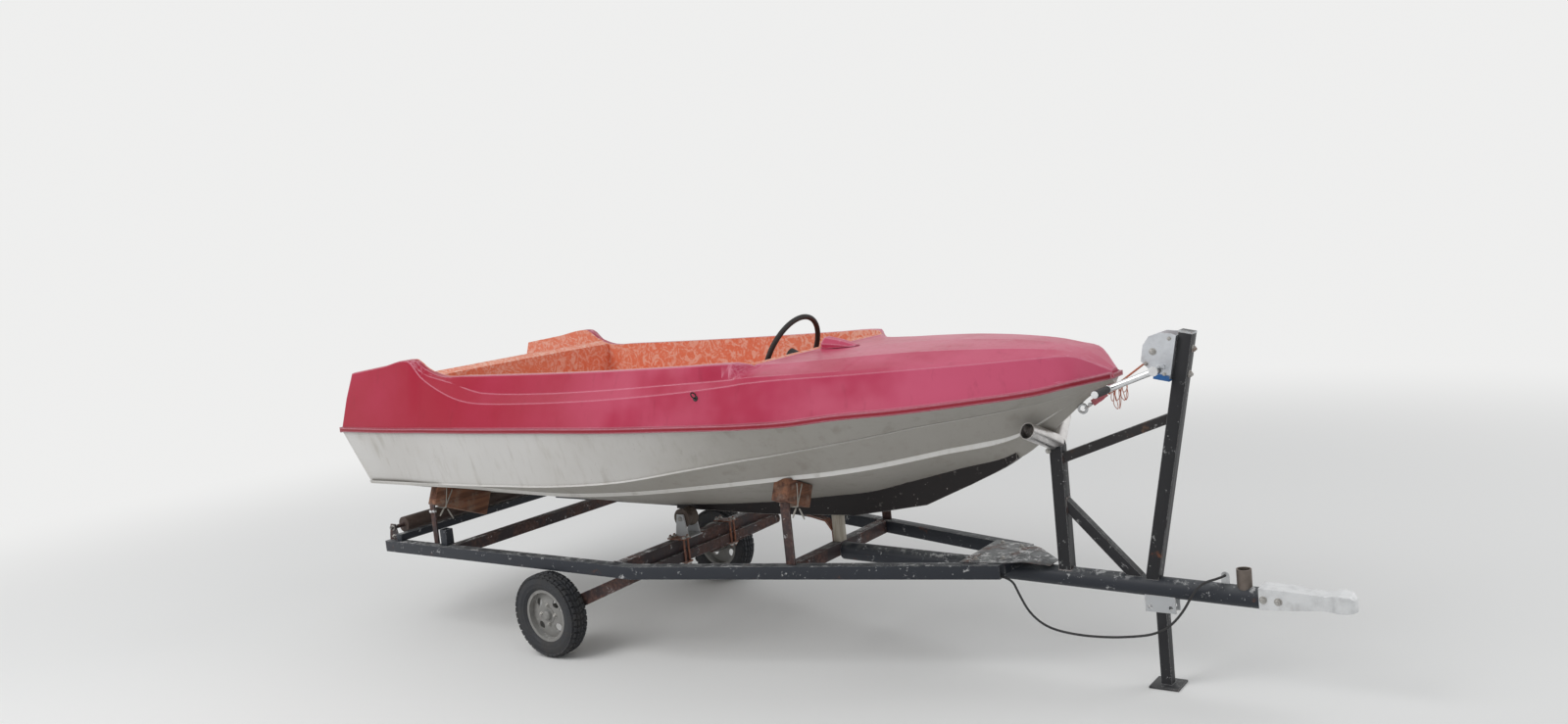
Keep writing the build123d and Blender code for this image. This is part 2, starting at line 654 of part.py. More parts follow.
with BuildPart() as drawbar_tube:
    add(tube_solid.part)
    with BuildSketch(tube_plane):
        Circle(TUBE_R - TUBE_WALL)
    extrude(amount=TUBE_LENGTH, mode=Mode.SUBTRACT)
    with Locations((TUBE_REAR_X, 0, TUBE_REF_Z)):
        Box(300, 200, 200, align=(Align.MAX, Align.CENTER, Align.CENTER), mode=Mode.SUBTRACT)
drawbar_tube.part.label = "drawbar_tube"
export_step(drawbar_tube.part, "parts/drawbar_tube.step")

# Saddle between the rails' front ends, and the gusset plate over them.
SADDLE_X = AXLE_X + 2010
with BuildPart() as front_saddle:
    extrude(plan_face(cross_outline(SADDLE_X, 60), RAIL_BOTTOM), amount=RAIL_H)
    add(tube_solid.part, mode=Mode.SUBTRACT)
front_saddle.part.label = "front_saddle"
export_step(front_saddle.part, "parts/front_saddle.step")

POST_X = AXLE_X + 2257
POST = 50
PLATE_T = 5
with BuildPart() as gusset_plate:
    bend_x = AXLE_X + 2110
    tip_x = POST_X - POST / 2
    tip_z = tube_z(tip_x) + TUBE_R - 1
    plate_outline = [
        (AXLE_X + 1880, RAIL_TOP),
        (bend_x, RAIL_TOP),
        (tip_x, tip_z),
        (tip_x, tip_z + PLATE_T),
        (bend_x, RAIL_TOP + PLATE_T),
        (AXLE_X + 1880, RAIL_TOP + PLATE_T),
    ]
    extrude(side_face(plate_outline, 250), amount=500)
    plan = [(1880, 165), (2040, 140), (2205, 40)]
    plan = [(AXLE_X + x, y) for x, y in plan]
    plan += [(x, -y) for x, y in reversed(plan)]
    extrude(plan_face(plan, 350), amount=200, mode=Mode.INTERSECT)
    add(tube_solid.part, mode=Mode.SUBTRACT)
gusset_plate.part.label = "gusset_plate"
export_step(gusset_plate.part, "parts/gusset_plate.step")

# Front post with its braces and the winch post.
POST_TOP = 900
WINCH_FOOT = (AXLE_X + 2597, 415)
WINCH_TOP = (AXLE_X + 2780, 1320)
WINCH_LEAN = math.atan2(WINCH_TOP[0] - WINCH_FOOT[0], WINCH_TOP[1] - WINCH_FOOT[1])


def winch_rear(z):
    """Rear face of the winch post at a height."""
    along = WINCH_FOOT[0] + (z - WINCH_FOOT[1]) * math.tan(WINCH_LEAN)
    return along - POST / 2 / math.cos(WINCH_LEAN)


with BuildPart() as front_post:
    with Locations((POST_X, 0, TUBE_REF_Z)):
        Box(POST, POST, POST_TOP - TUBE_REF_Z, align=(Align.CENTER, Align.CENTER, Align.MIN))
    add(tube_solid.part, mode=Mode.SUBTRACT)
front_post.part.label = "front_post"
export_step(front_post.part, "parts/front_post.step")

with BuildPart() as winch_post:
    post_dir = (math.sin(WINCH_LEAN), 0, math.cos(WINCH_LEAN))
    with BuildSketch(Plane(origin=(WINCH_TOP[0], 0, WINCH_TOP[1]), x_dir=(0, 1, 0), z_dir=post_dir)):
        Rectangle(POST, POST)
    extrude(amount=-math.hypot(WINCH_TOP[0] - WINCH_FOOT[0], WINCH_TOP[1] - WINCH_FOOT[1]) - 25)
    add(tube_solid.part, mode=Mode.SUBTRACT)
winch_post.part.label = "winch_post"
export_step(winch_post.part, "parts/winch_post.step")

BRACE = 40
with BuildPart() as upper_brace:
    face_x = POST_X + POST / 2
    brace_low, brace_high = 832, 985
    outline = [
        (face_x, brace_low),
        (winch_rear(brace_high), brace_high),
        (winch_rear(brace_high + BRACE), brace_high + BRACE),
        (face_x, brace_low + BRACE),
    ]
    extrude(side_face(outline, BRACE / 2), amount=BRACE)
upper_brace.part.label = "upper_brace"
export_step(upper_brace.part, "parts/upper_brace.step")

with BuildPart() as lower_brace:
    outline = [
        (face_x, 640),
        (AXLE_X + 2520, 390),
        (AXLE_X + 2580, 390),
        (face_x, 695),
    ]
    extrude(side_face(outline, 18), amount=36)
    add(tube_solid.part, mode=Mode.SUBTRACT)
lower_brace.part.label = "lower_brace"
export_step(lower_brace.part, "parts/lower_brace.step")

# Bow rest: two open tubes in a V on the front post, coped to the hull.
REST_R = 33
REST_WALL = 4
with BuildPart() as bow_rest:
    foot = Vector(POST_X - 2, 0, POST_TOP + 8)
    tips = [Vector(AXLE_X + 2214, side * 165, 984) for side in (-1, 1)]
    for tip in tips:
        with BuildSketch(Plane(origin=foot, z_dir=tip - foot)):
            Circle(REST_R)
        extrude(amount=(tip - foot).length)
    for tip in tips:
        with BuildSketch(Plane(origin=tip, z_dir=foot - tip)):
            Circle(REST_R - REST_WALL)
        extrude(amount=(tip - foot).length - 50, mode=Mode.SUBTRACT)
    with Locations((POST_X, 0, POST_TOP)):
        Box(POST + 30, POST + 30, 200, align=(Align.CENTER, Align.CENTER, Align.MAX), mode=Mode.SUBTRACT)
    add(hull_form.part, mode=Mode.SUBTRACT)
bow_rest.part.label = "bow_rest"
export_step(bow_rest.part, "parts/bow_rest.step")

# Winch on the rear face of its post; plane points are (aft of the post, up along it).
WINCH_Z = 1225
winch_plane = Plane(
    origin=(winch_rear(WINCH_Z), 0, WINCH_Z),
    x_dir=(-math.cos(WINCH_LEAN), 0, math.sin(WINCH_LEAN)),
    z_dir=(0, 1, 0),
)
CHEEK_Y = 45
CHEEK_T = 4
DRUM_AT = (74, 14)
CRANK_AT = (30, -35)
CRANK_SHAFT_R = 8
CRANK_ARM = 180
CRANK_DROP = 20  # degrees the arm hangs below straight aft

with BuildPart() as winch_frame:
    for face in (-CHEEK_Y, CHEEK_Y - CHEEK_T):
        with BuildSketch(winch_plane.offset(face)):
            with BuildLine():
                Polyline((0, -74), (52, -72), (112, -28), (113, 30), (96, 66), (62, 84), (20, 88),
                         (0, 84), close=True)
            make_face()
            with Locations(CRANK_AT):
                Circle(CRANK_SHAFT_R + 0.5, mode=Mode.SUBTRACT)
        extrude(amount=CHEEK_T)
    with BuildSketch(winch_plane.offset(-CHEEK_Y)):
        with Locations((CHEEK_T / 2, 5)):
            Rectangle(CHEEK_T, 158)
    extrude(amount=2 * CHEEK_Y)
winch_frame.part.label = "winch_frame"
export_step(winch_frame.part, "parts/winch_frame.step")

with BuildPart() as winch_drum:
    inside = CHEEK_Y - CHEEK_T
    with BuildSketch(winch_plane.offset(-inside)):
        with Locations(DRUM_AT):
            Circle(24)
    extrude(amount=2 * inside)
    for face in (-inside, inside - 3):
        with BuildSketch(winch_plane.offset(face)):
            with Locations(DRUM_AT):
                Circle(36)
        extrude(amount=3)
winch_drum.part.label = "winch_drum"
export_step(winch_drum.part, "parts/winch_drum.step")

crank_centre = winch_plane.from_local_coords(Vector(*CRANK_AT, 0))
arm_turn = math.radians(CRANK_DROP)
arm_end = crank_centre + Vector(-math.cos(arm_turn), 0, -math.sin(arm_turn)) * CRANK_ARM
with BuildPart() as winch_crank:
    with BuildSketch(Plane.XZ.offset(-CHEEK_Y - 3)):
        with Locations((crank_centre.X, crank_centre.Z)):
            Circle(CRANK_SHAFT_R)
    extrude(amount=CHEEK_Y + 3 + 140)
    with BuildSketch(Plane.XZ.offset(80)):
        with Locations((crank_centre.X, crank_centre.Z)):
            Circle(14)
    extrude(amount=20)
    for centre, radius in ((crank_centre, 17), (arm_end, 14)):
        with BuildSketch(Plane.XZ.offset(118)):
            with Locations((centre.X, centre.Z)):
                Circle(radius)
        extrude(amount=32)
    with BuildSketch(Plane(origin=crank_centre + Vector(0, -134, 0), z_dir=arm_end - crank_centre)):
        Circle(12)
    extrude(amount=CRANK_ARM)
    with BuildSketch(Plane.XZ.offset(150)):
        with Locations((arm_end.X, arm_end.Z)):
            Circle(13)
    extrude(amount=120)
winch_crank.part.label = "winch_crank"
export_step(winch_crank.part, "parts/winch_crank.step")

# Rope from the drum down to the bow eye.
ROPE_R = 4
with BuildPart() as winch_rope:
    drum_centre = winch_plane.from_local_coords(Vector(*DRUM_AT, 0))
    rope_low = Vector(EYE_X + 8, 0, EYE_Z - 2)
    rope_high = drum_centre + Vector(-0.5, 0, -0.85) * 28
    with BuildSketch(Plane(origin=rope_low, z_dir=rope_high - rope_low)):
        Circle(ROPE_R)
    extrude(amount=(rope_high - rope_low).length + 30)
    add([winch_drum.part, bow_eye.part], mode=Mode.SUBTRACT)
    add(winch_rope.solids().sort_by(SortBy.VOLUME)[-1], mode=Mode.REPLACE)
winch_rope.part.label = "winch_rope"
export_step(winch_rope.part, "parts/winch_rope.step")

# Wooden blocks under the hull and the flat posts that carry them.
# Name, middle ahead of the axle, width along the boat, outer top y, length, thickness, tilt, rise, post.
# The tilt is what the block leans past the hull's own slope, the rise how far it reaches into the
# hull before it is shaped to it, and the post is (distance ahead of the axle, y, width).
BUNKS = [
    ("rear", -830, 54, 540, 335, 92, 5, 28, (-830, 570, 34)),
    ("middle", 1222, 84, 385, 160, 90, 0, 4, (1218, 381, 46)),
]
POST_T = 10


def hull_bottom(x, y):
    """Height of the hull's underside inboard of the spray rails, x ahead of the axle."""
    rear, fore = next(pair for pair in zip(HULL, HULL[1:]) if pair[0][0] <= x <= pair[1][0])
    share = (x - rear[0]) / (fore[0] - rear[0])
    keel_z, spray_y, spray_z = (a + (b - a) * share for a, b in zip(rear[1:4], fore[1:4]))
    return keel_z + (spray_z - keel_z) * abs(y) / spray_y


for position, x, width, outer_y, length, thickness, lean, rise, post in BUNKS:
    post_mid, post_y, post_w = post
    slope = math.atan2(hull_bottom(x, 300) - hull_bottom(x, 0), 300) + math.radians(lean)
    down = (math.sin(slope) * thickness, -math.cos(slope) * thickness)
    corner = (outer_y, hull_bottom(x, outer_y))
    inner = (outer_y - math.cos(slope) * length, corner[1] - math.sin(slope) * length)
    raised = (-math.sin(slope) * rise, math.cos(slope) * rise)
    block_points = [
        (inner[0] + down[0], inner[1] + down[1]),
        (corner[0] + down[0], corner[1] + down[1]),
        (corner[0] + raised[0], corner[1] + raised[1]),
        (inner[0] + raised[0], inner[1] + raised[1]),
    ]
    with BuildPart() as bunk_blocks:
        for side in (-1, 1):
            block_x = AXLE_X + x - width / 2
            extrude(section_faces([(block_x, [(side * y, z) for y, z in block_points])])[0], amount=width)
        add(hull_form.part, mode=Mode.SUBTRACT)
    bunk_blocks.part.label = f"{position}_blocks"
    export_step(bunk_blocks.part, f"parts/{position}_blocks.step")

    seat_z = corner[1] + down[1] + (post_y - corner[0] - down[0]) * math.tan(slope)
    half_t = POST_T / 2
    post_points = [
        (post_y - half_t, RAIL_TOP),
        (post_y + half_t, RAIL_TOP),
        (post_y + half_t, seat_z + half_t * math.tan(slope)),
        (post_y - half_t, seat_z - half_t * math.tan(slope)),
    ]
    with BuildPart() as bunk_posts:
        for side in (-1, 1):
            post_x = AXLE_X + post_mid - post_w / 2
            extrude(section_faces([(post_x, [(side * y, z) for y, z in post_points])])[0], amount=post_w)
    bunk_posts.part.label = f"{position}_posts"
    export_step(bunk_posts.part, f"parts/{position}_posts.step")

# Stake sockets on the rails behind the wheels.
SOCKET_X = AXLE_X - 740
with BuildPart() as stake_sockets:
    for side in (-1, 1):
        with Locations((SOCKET_X, side * 576, RAIL_TOP)):
            Box(45, 45, 81, align=(Align.CENTER, Align.CENTER, Align.MIN))
            Box(39, 39, 81, align=(Align.CENTER, Align.CENTER, Align.MIN), mode=Mode.SUBTRACT)
stake_sockets.part.label = "stake_sockets"
export_step(stake_sockets.part, "parts/stake_sockets.step")

# Plank and bent strap holding the keel above the front crossmember.
with BuildPart() as keel_chock:
    with Locations((CROSS_FRONT_X + 5, 0, RAIL_TOP)):
        Box(40, 45, 150, align=(Align.CENTER, Align.CENTER, Align.MIN))
    add([keel_bar.part, hull_form.part], mode=Mode.SUBTRACT)
    with Locations((CROSS_FRONT_X, 0, 640)):
        Box(200, 200, 100, mode=Mode.SUBTRACT)
keel_chock.part.label = "keel_chock"
export_step(keel_chock.part, "parts/keel_chock.step")

with BuildPart() as keel_strap:
    strap = [(1187, 454), (1187, 502), (1154, 546), (1052, 570), (1050, 560), (1150, 539), (1181, 499), (1181, 454)]
    extrude(side_face([(AXLE_X + x, z) for x, z in strap], 18), amount=36)
    add([keel_bar.part, hull_form.part], mode=Mode.SUBTRACT)
keel_strap.part.label = "keel_strap"
export_step(keel_strap.part, "parts/keel_strap.step")

# Pressed coupling over the drawbar's front end, with a socket for a ball.
HEAD_R = 46
BALL_X = NOSE_X - HEAD_R
COUPLING_REAR_X = BALL_X - 265
BALL_Z = 362
BALL_R = 25.3
with BuildPart() as coupling:
    plan = [(COUPLING_REAR_X, 43), (COUPLING_REAR_X + 110, 43), (BALL_X - 60, 30), (BALL_X - 20, 38)]
    plan += [(x, -y) for x, y in reversed(plan)]
    with BuildSketch(Plane.XY.offset(332)):
        with BuildLine():
            Polyline(*plan, close=True)
        make_face()
        with Locations((BALL_X, 0)):
            Circle(HEAD_R)
    extrude(amount=100)
    profile = [
        (COUPLING_REAR_X, 338),
        (BALL_X - 60, 350),
        (NOSE_X, 350),
        (NOSE_X, 386),
        (NOSE_X - 18, 404),
        (BALL_X - 6, 410),
        (BALL_X - 50, 400),
        (COUPLING_REAR_X + 110, 411),
        (COUPLING_REAR_X, 414),
    ]
    extrude(side_face(profile, 100), amount=200, mode=Mode.INTERSECT)
    add(tube_solid.part, mode=Mode.SUBTRACT)
    with Locations((COUPLING_REAR_X + 110, 0, 300)):
        Box(150, 62, 80, align=(Align.CENTER, Align.CENTER, Align.MIN), mode=Mode.SUBTRACT)
    with Locations((BALL_X, 0, BALL_Z)):
        Sphere(BALL_R, mode=Mode.SUBTRACT)
        Cylinder(BALL_R, 60, align=(Align.CENTER, Align.CENTER, Align.MAX), mode=Mode.SUBTRACT)
coupling.part.label = "coupling"
export_step(coupling.part, "parts/coupling.step")

# Short open socket standing on the drawbar behind the coupling.
JOCKEY_X = BALL_X - 321
JOCKEY_R = 21.2
JOCKEY_TOP = 468
JOCKEY_DEEP = 56
with BuildPart() as jockey_socket:
    with Locations((JOCKEY_X, 0, tube_z(JOCKEY_X))):
        Cylinder(26, JOCKEY_TOP - tube_z(JOCKEY_X), align=(Align.CENTER, Align.CENTER, Align.MIN))
    with Locations((JOCKEY_X, 0, JOCKEY_TOP)):
        Cylinder(JOCKEY_R, JOCKEY_DEEP, align=(Align.CENTER, Align.CENTER, Align.MAX), mode=Mode.SUBTRACT)
    add(tube_solid.part, mode=Mode.SUBTRACT)
jockey_socket.part.label = "jockey_socket"
export_step(jockey_socket.part, "parts/jockey_socket.step")

# Prop leg under the drawbar between two side plates.
LEG_X = AXLE_X + 2620
LEG = 40
with BuildPart() as prop_leg:
    with Locations((LEG_X, 0, 8)):
        Box(LEG, LEG, tube_z(LEG_X) - 8, align=(Align.CENTER, Align.CENTER, Align.MIN))
    with Locations((LEG_X, 0, 0)):
        Box(110, 110, 8, align=(Align.CENTER, Align.CENTER, Align.MIN))
    add(tube_solid.part, mode=Mode.SUBTRACT)
prop_leg.part.label = "prop_leg"
export_step(prop_leg.part, "parts/prop_leg.step")

with BuildPart() as prop_plates:
    for face in (LEG / 2, -LEG / 2 - 6):
        with BuildSketch(Plane.XZ.offset(face)):
            with Locations((LEG_X, 325)):
                Rectangle(113, 80)
            for dx in (-38, 38):
                with Locations((LEG_X + dx, 304)):
                    Circle(8, mode=Mode.SUBTRACT)
        extrude(amount=6)
    add(tube_solid.part, mode=Mode.SUBTRACT)
prop_plates.part.label = "prop_plates"
export_step(prop_plates.part, "parts/prop_plates.step")

# Eye on the drawbar holding the end of the cable.
CABLE_EYE_X = AXLE_X + 2853
CABLE_EYE_Z = 438
with BuildPart() as cable_eye:
    with BuildSketch(Plane.XZ.offset(-2)):
        with Locations((CABLE_EYE_X, CABLE_EYE_Z)):
            Circle(14)
        with Locations((CABLE_EYE_X, CABLE_EYE_Z - 25)):
            Rectangle(28, 50)
    extrude(amount=4)
    add(tube_solid.part, mode=Mode.SUBTRACT)
cable_eye.part.label = "cable_eye"
export_step(cable_eye.part, "parts/cable_eye.step")

# Cable hanging from the near rail's front end to the eye: points ahead of the axle.
CABLE_R = 4.5
CABLE = [
    (1998, -149, 408),
    (2076, -127, 407),
    (2110, -128, 330),
    (2150, -131, 262),
    (2218, -124, 212),
    (2330, -117, 196),
    (2440, -88, 190),
    (2528, -66, 196),
    (2598, -56, 209),
    (2662, -57, 246),
    (2714, -58, 308),
    (2752, -62, 376),
    (2792, -68, 425),
    (2846, -50, 441),
    (2853, -2.7, 438),
]
cable_points = [Vector(AXLE_X + x, y, z) for x, y, z in CABLE]
cable_radii = []
for before, here, after in zip(cable_points, cable_points[1:], cable_points[2:]):
    rear_run, fore_run = here - before, after - here
    turn = math.radians(rear_run.get_angle(fore_run))
    cable_radii.append(0.45 * min(rear_run.length, fore_run.length) / math.tan(turn / 2))
with BuildPart() as trailer_cable:
    with BuildLine() as cable_route:
        FilletPolyline(*cable_points, radius=cable_radii)
    with BuildSketch(Plane(origin=cable_points[0], z_dir=cable_points[1] - cable_points[0])):
        Circle(CABLE_R)
    sweep()
trailer_cable.part.label = "trailer_cable"
export_step(trailer_cable.part, "parts/trailer_cable.step")
route_length = sum(edge.length for edge in cable_route.edges())
print("cable radii", [round(radius) for radius in cable_radii], "length", round(route_length))
print("cable volume", trailer_cable.part.volume, math.pi * CABLE_R**2 * route_length)
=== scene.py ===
"""Dresses a small speedboat and the boat trailer that carries it."""

import json
import logging
import math
from collections.abc import Iterable, Sequence
from dataclasses import dataclass
from enum import Enum

import bmesh
import bpy
from mathutils import Matrix, Vector
from mathutils.bvhtree import BVHTree


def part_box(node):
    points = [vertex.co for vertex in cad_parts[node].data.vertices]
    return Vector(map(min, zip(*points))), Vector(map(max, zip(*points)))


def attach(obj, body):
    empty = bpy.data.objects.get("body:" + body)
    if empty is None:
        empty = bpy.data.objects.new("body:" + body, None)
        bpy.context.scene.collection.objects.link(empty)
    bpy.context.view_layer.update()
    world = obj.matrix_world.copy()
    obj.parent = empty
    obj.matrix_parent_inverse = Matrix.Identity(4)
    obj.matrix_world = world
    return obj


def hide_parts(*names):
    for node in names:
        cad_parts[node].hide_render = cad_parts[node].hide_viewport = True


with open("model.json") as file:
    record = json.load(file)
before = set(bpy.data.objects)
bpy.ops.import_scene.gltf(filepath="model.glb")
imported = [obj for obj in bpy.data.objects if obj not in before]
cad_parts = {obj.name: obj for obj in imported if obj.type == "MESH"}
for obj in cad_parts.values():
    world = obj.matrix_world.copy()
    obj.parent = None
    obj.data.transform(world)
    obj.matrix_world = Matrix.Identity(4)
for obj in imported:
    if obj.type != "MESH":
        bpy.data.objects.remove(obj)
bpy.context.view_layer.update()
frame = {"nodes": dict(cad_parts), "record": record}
LOG = logging.getLogger("speedboat")

Rgb = tuple[float, float, float]
Point = tuple[float, float, float]
Wire = tuple[Sequence[Point], bool]
AXLE_X = -0.957
ROOT = "boat_on_trailer"
TURN = 2 * math.pi
BODIES = {node: body for body, nodes in frame["record"]["behaviour"]["bodies"].items() for node in nodes}


def ahead(x: float) -> float:
    """Turns a distance ahead of the axle into the frame's x."""
    return AXLE_X + x


# Shader graphs


class Signal:
    """A socket that takes part in arithmetic: each operation adds its Math node."""

    def __init__(self, graph: "Graph", socket: bpy.types.NodeSocket) -> None:
        """Wraps one output socket of a graph."""
        self.graph = graph
        self.socket = socket

    def __add__(self, other: "Signal | float") -> "Signal":
        """Adds."""
        return self.graph.maths("ADD", self, other)

    def __radd__(self, other: float) -> "Signal":
        """Adds to a number."""
        return self.graph.maths("ADD", other, self)

    def __sub__(self, other: "Signal | float") -> "Signal":
        """Subtracts."""
        return self.graph.maths("SUBTRACT", self, other)

    def __rsub__(self, other: float) -> "Signal":
        """Subtracts from a number."""
        return self.graph.maths("SUBTRACT", other, self)

    def __mul__(self, other: "Signal | float") -> "Signal":
        """Multiplies."""
        return self.graph.maths("MULTIPLY", self, other)

    def __rmul__(self, other: float) -> "Signal":
        """Multiplies a number."""
        return self.graph.maths("MULTIPLY", other, self)

    def larger(self, other: "Signal | float") -> "Signal":
        """Takes the larger of two values."""
        return self.graph.maths("MAXIMUM", self, other)

    def ramp(self, low: float, high: float) -> "Signal":
        """Rises smoothly from 0 to 1, or falls where low is the larger.

        Args:
            low: the value that gives 0.
            high: the value that gives 1.

        Returns:
            The signal.
        """
        sockets = {"Value": self, "From Min": low, "From Max": high}
        made = self.graph.node("ShaderNodeMapRange", {"interpolation_type": "SMOOTHSTEP"}, sockets)
        return Signal(self.graph, made.outputs["Result"])


class Graph:
    """One material's nodes, round a single principled shader."""

    def __init__(self, name: str) -> None:
        """Starts an empty material of this name."""
        self.material = bpy.data.materials.new(name)
        self.material.use_nodes = True
        self.tree = self.material.node_tree
        self.tree.nodes.clear()
        self.shader = self.node("ShaderNodeBsdfPrincipled")
        self.output = self.node("ShaderNodeOutputMaterial", {}, {"Surface": self.out(self.shader, 0)})

    def node(self, kind: str, settings: dict | None = None, sockets: dict | None = None) -> bpy.types.Node:
        """Adds a node.

        Args:
            kind: the node's type.
            settings: its properties, set first.
            sockets: values or signals for its inputs, by name or index.

        Returns:
            The new node.
        """
        made = self.tree.nodes.new(kind)
        for key, value in (settings or {}).items():
            setattr(made, key, value)
        for key, value in (sockets or {}).items():
            self.feed(made.inputs[key], value)
        return made

    def feed(self, socket: bpy.types.NodeSocket, value: "Signal | float | Sequence[float]") -> None:
        """Links a signal to a socket, or sets the socket's own value.

        Args:
            socket: the input that is fed.
            value: a signal, a number, a vector or a colour.
        """
        if isinstance(value, Signal):
            self.tree.links.new(value.socket, socket)
        elif socket.type == "RGBA":
            socket.default_value = (*value, 1.0)
        else:
            socket.default_value = value

    def out(self, node: bpy.types.Node, key: str | int) -> Signal:
        """Wraps one of a node's outputs."""
        return Signal(self, node.outputs[key])

    def maths(self, operation: str, first: "Signal | float", second: "Signal | float") -> Signal:
        """Adds a Math node for two values."""
        return self.out(self.node("ShaderNodeMath", {"operation": operation}, {0: first, 1: second}), 0)

    def place(self, stretch: Point = (1.0, 1.0, 1.0), shift: Point = (0.0, 0.0, 0.0)) -> Signal:
        """Gives the object's own coordinates, stretched and shifted.

        Args:
            stretch: the factor along each axis.
            shift: the distance added along each axis, in metres.

        Returns:
            The signal.
        """
        coords = self.out(self.node("ShaderNodeTexCoord"), "Object")
        sockets = {"Vector": coords, "Scale": stretch, "Location": shift}
        return self.out(self.node("ShaderNodeMapping", {}, sockets), 0)

    def axis(self, name: str) -> Signal:
        """Gives one of the object's own coordinates."""
        coords = self.out(self.node("ShaderNodeTexCoord"), "Object")
        return self.out(self.node("ShaderNodeSeparateXYZ", {}, {0: coords}), name)

    def facing(self, name: str = "Z") -> Signal:
        """Gives one component of the surface's outward direction."""
        normal = self.out(self.node("ShaderNodeNewGeometry"), "Normal")
        return self.out(self.node("ShaderNodeSeparateXYZ", {}, {0: normal}), name)

    def edge(self, radius: float, flat: float = 0.97, sharp: float = 0.75) -> Signal:
        """Gives 1 on sharp edges and 0 on flat faces, from how far a rounded normal leaves the true one.

        Args:
            radius: how far the rounding reaches, in metres.
            flat: the agreement of the two normals that counts as flat.
            sharp: the agreement that counts as a full edge.

        Returns:
            The signal.
        """
        rounded = self.out(self.node("ShaderNodeBevel", {"samples": 4}, {"Radius": radius}), 0)
        true = self.out(self.node("ShaderNodeNewGeometry"), "True Normal")
        dot = self.node("ShaderNodeVectorMath", {"operation": "DOT_PRODUCT"}, {0: rounded, 1: true})
        return self.out(dot, "Value").ramp(flat, sharp)

    def crevice_shade(self, reach: float) -> Signal:
        """Gives the shade of ambient occlusion: 1 deep in a corner and 0 on open faces.

        Args:
            reach: how far from the corner it counts, in metres.

        Returns:
            The signal.
        """
        settings = {"samples": 6, "only_local": False}
        node = self.node("ShaderNodeAmbientOcclusion", settings, {"Distance": reach})
        return self.out(node, "AO").ramp(0.92, 0.45)

    def noise(self, scale: float, detail: float = 4.0, rough: float = 0.55, twist: float = 0.0,
              stretch: Point = (1.0, 1.0, 1.0), shift: Point = (0.0, 0.0, 0.0)) -> Signal:
        """Gives cloudy noise over the object's own coordinates.

        Args:
            scale: how fine it is.
            detail: its octaves.
            rough: how strong the fine octaves are.
            twist: how far it is distorted.
            stretch: the scale along each axis.
            shift: where the pattern starts.

        Returns:
            The noise, from 0 to 1.
        """
        sockets = {"Vector": self.place(stretch, shift), "Scale": scale, "Detail": detail,
                   "Roughness": rough, "Distortion": twist}
        return self.out(self.node("ShaderNodeTexNoise", {}, sockets), "Fac")

    def cells(self, scale: float) -> Signal:
        """Gives the distance within random cells."""
        sockets = {"Vector": self.place(), "Scale": scale}
        return self.out(self.node("ShaderNodeTexVoronoi", {}, sockets), "Distance")

    def blend(self, share: Signal | float, low: "Signal | Rgb", high: "Signal | Rgb") -> Signal:
        """Mixes two colours."""
        made = self.node("ShaderNodeMix", {"data_type": "RGBA"}, {0: share, 6: low, 7: high})
        return self.out(made, 2)

    def relief(self, height: Signal, strength: float, depth: float, soft: float = 0.0015) -> Signal:
        """Turns a height into a bumped normal over eased edges.

        Args:
            height: the height's signal.
            strength: how strongly it shows.
            depth: the height of 1 in metres.
            soft: the radius that eases the edges.

        Returns:
            The normal.
        """
        eased = self.out(self.node("ShaderNodeBevel", {"samples": 4}, {"Radius": soft}), 0)
        sockets = {"Height": height, "Strength": strength, "Distance": depth, "Normal": eased}
        return self.out(self.node("ShaderNodeBump", {}, sockets), 0)

    def set(self, **values: "Signal | float | Rgb") -> None:
        """Feeds the principled shader, its sockets named with underscores for spaces."""
        for key, value in values.items():
            self.feed(self.shader.inputs[key.replace("_", " ")], value)


# Finishes


@dataclass(frozen=True)
class Finish:
    """A finish that can make its material once and share it."""

    name: str

    def paint(self, graph: Graph) -> None:
        """Fills in the material's nodes.

        Args:
            graph: the material's graph.
        """
        raise NotImplementedError

    def material(self) -> bpy.types.Material:
        """Gives the finish's material, made on first use under a name that no CAD material has.

        Returns:
            The shared material.
        """
        own_name = f"{self.name}_finish"
        known = bpy.data.materials.get(own_name)
        if known is None:
            graph = Graph(own_name)
            self.paint(graph)
            known = graph.material
        return known


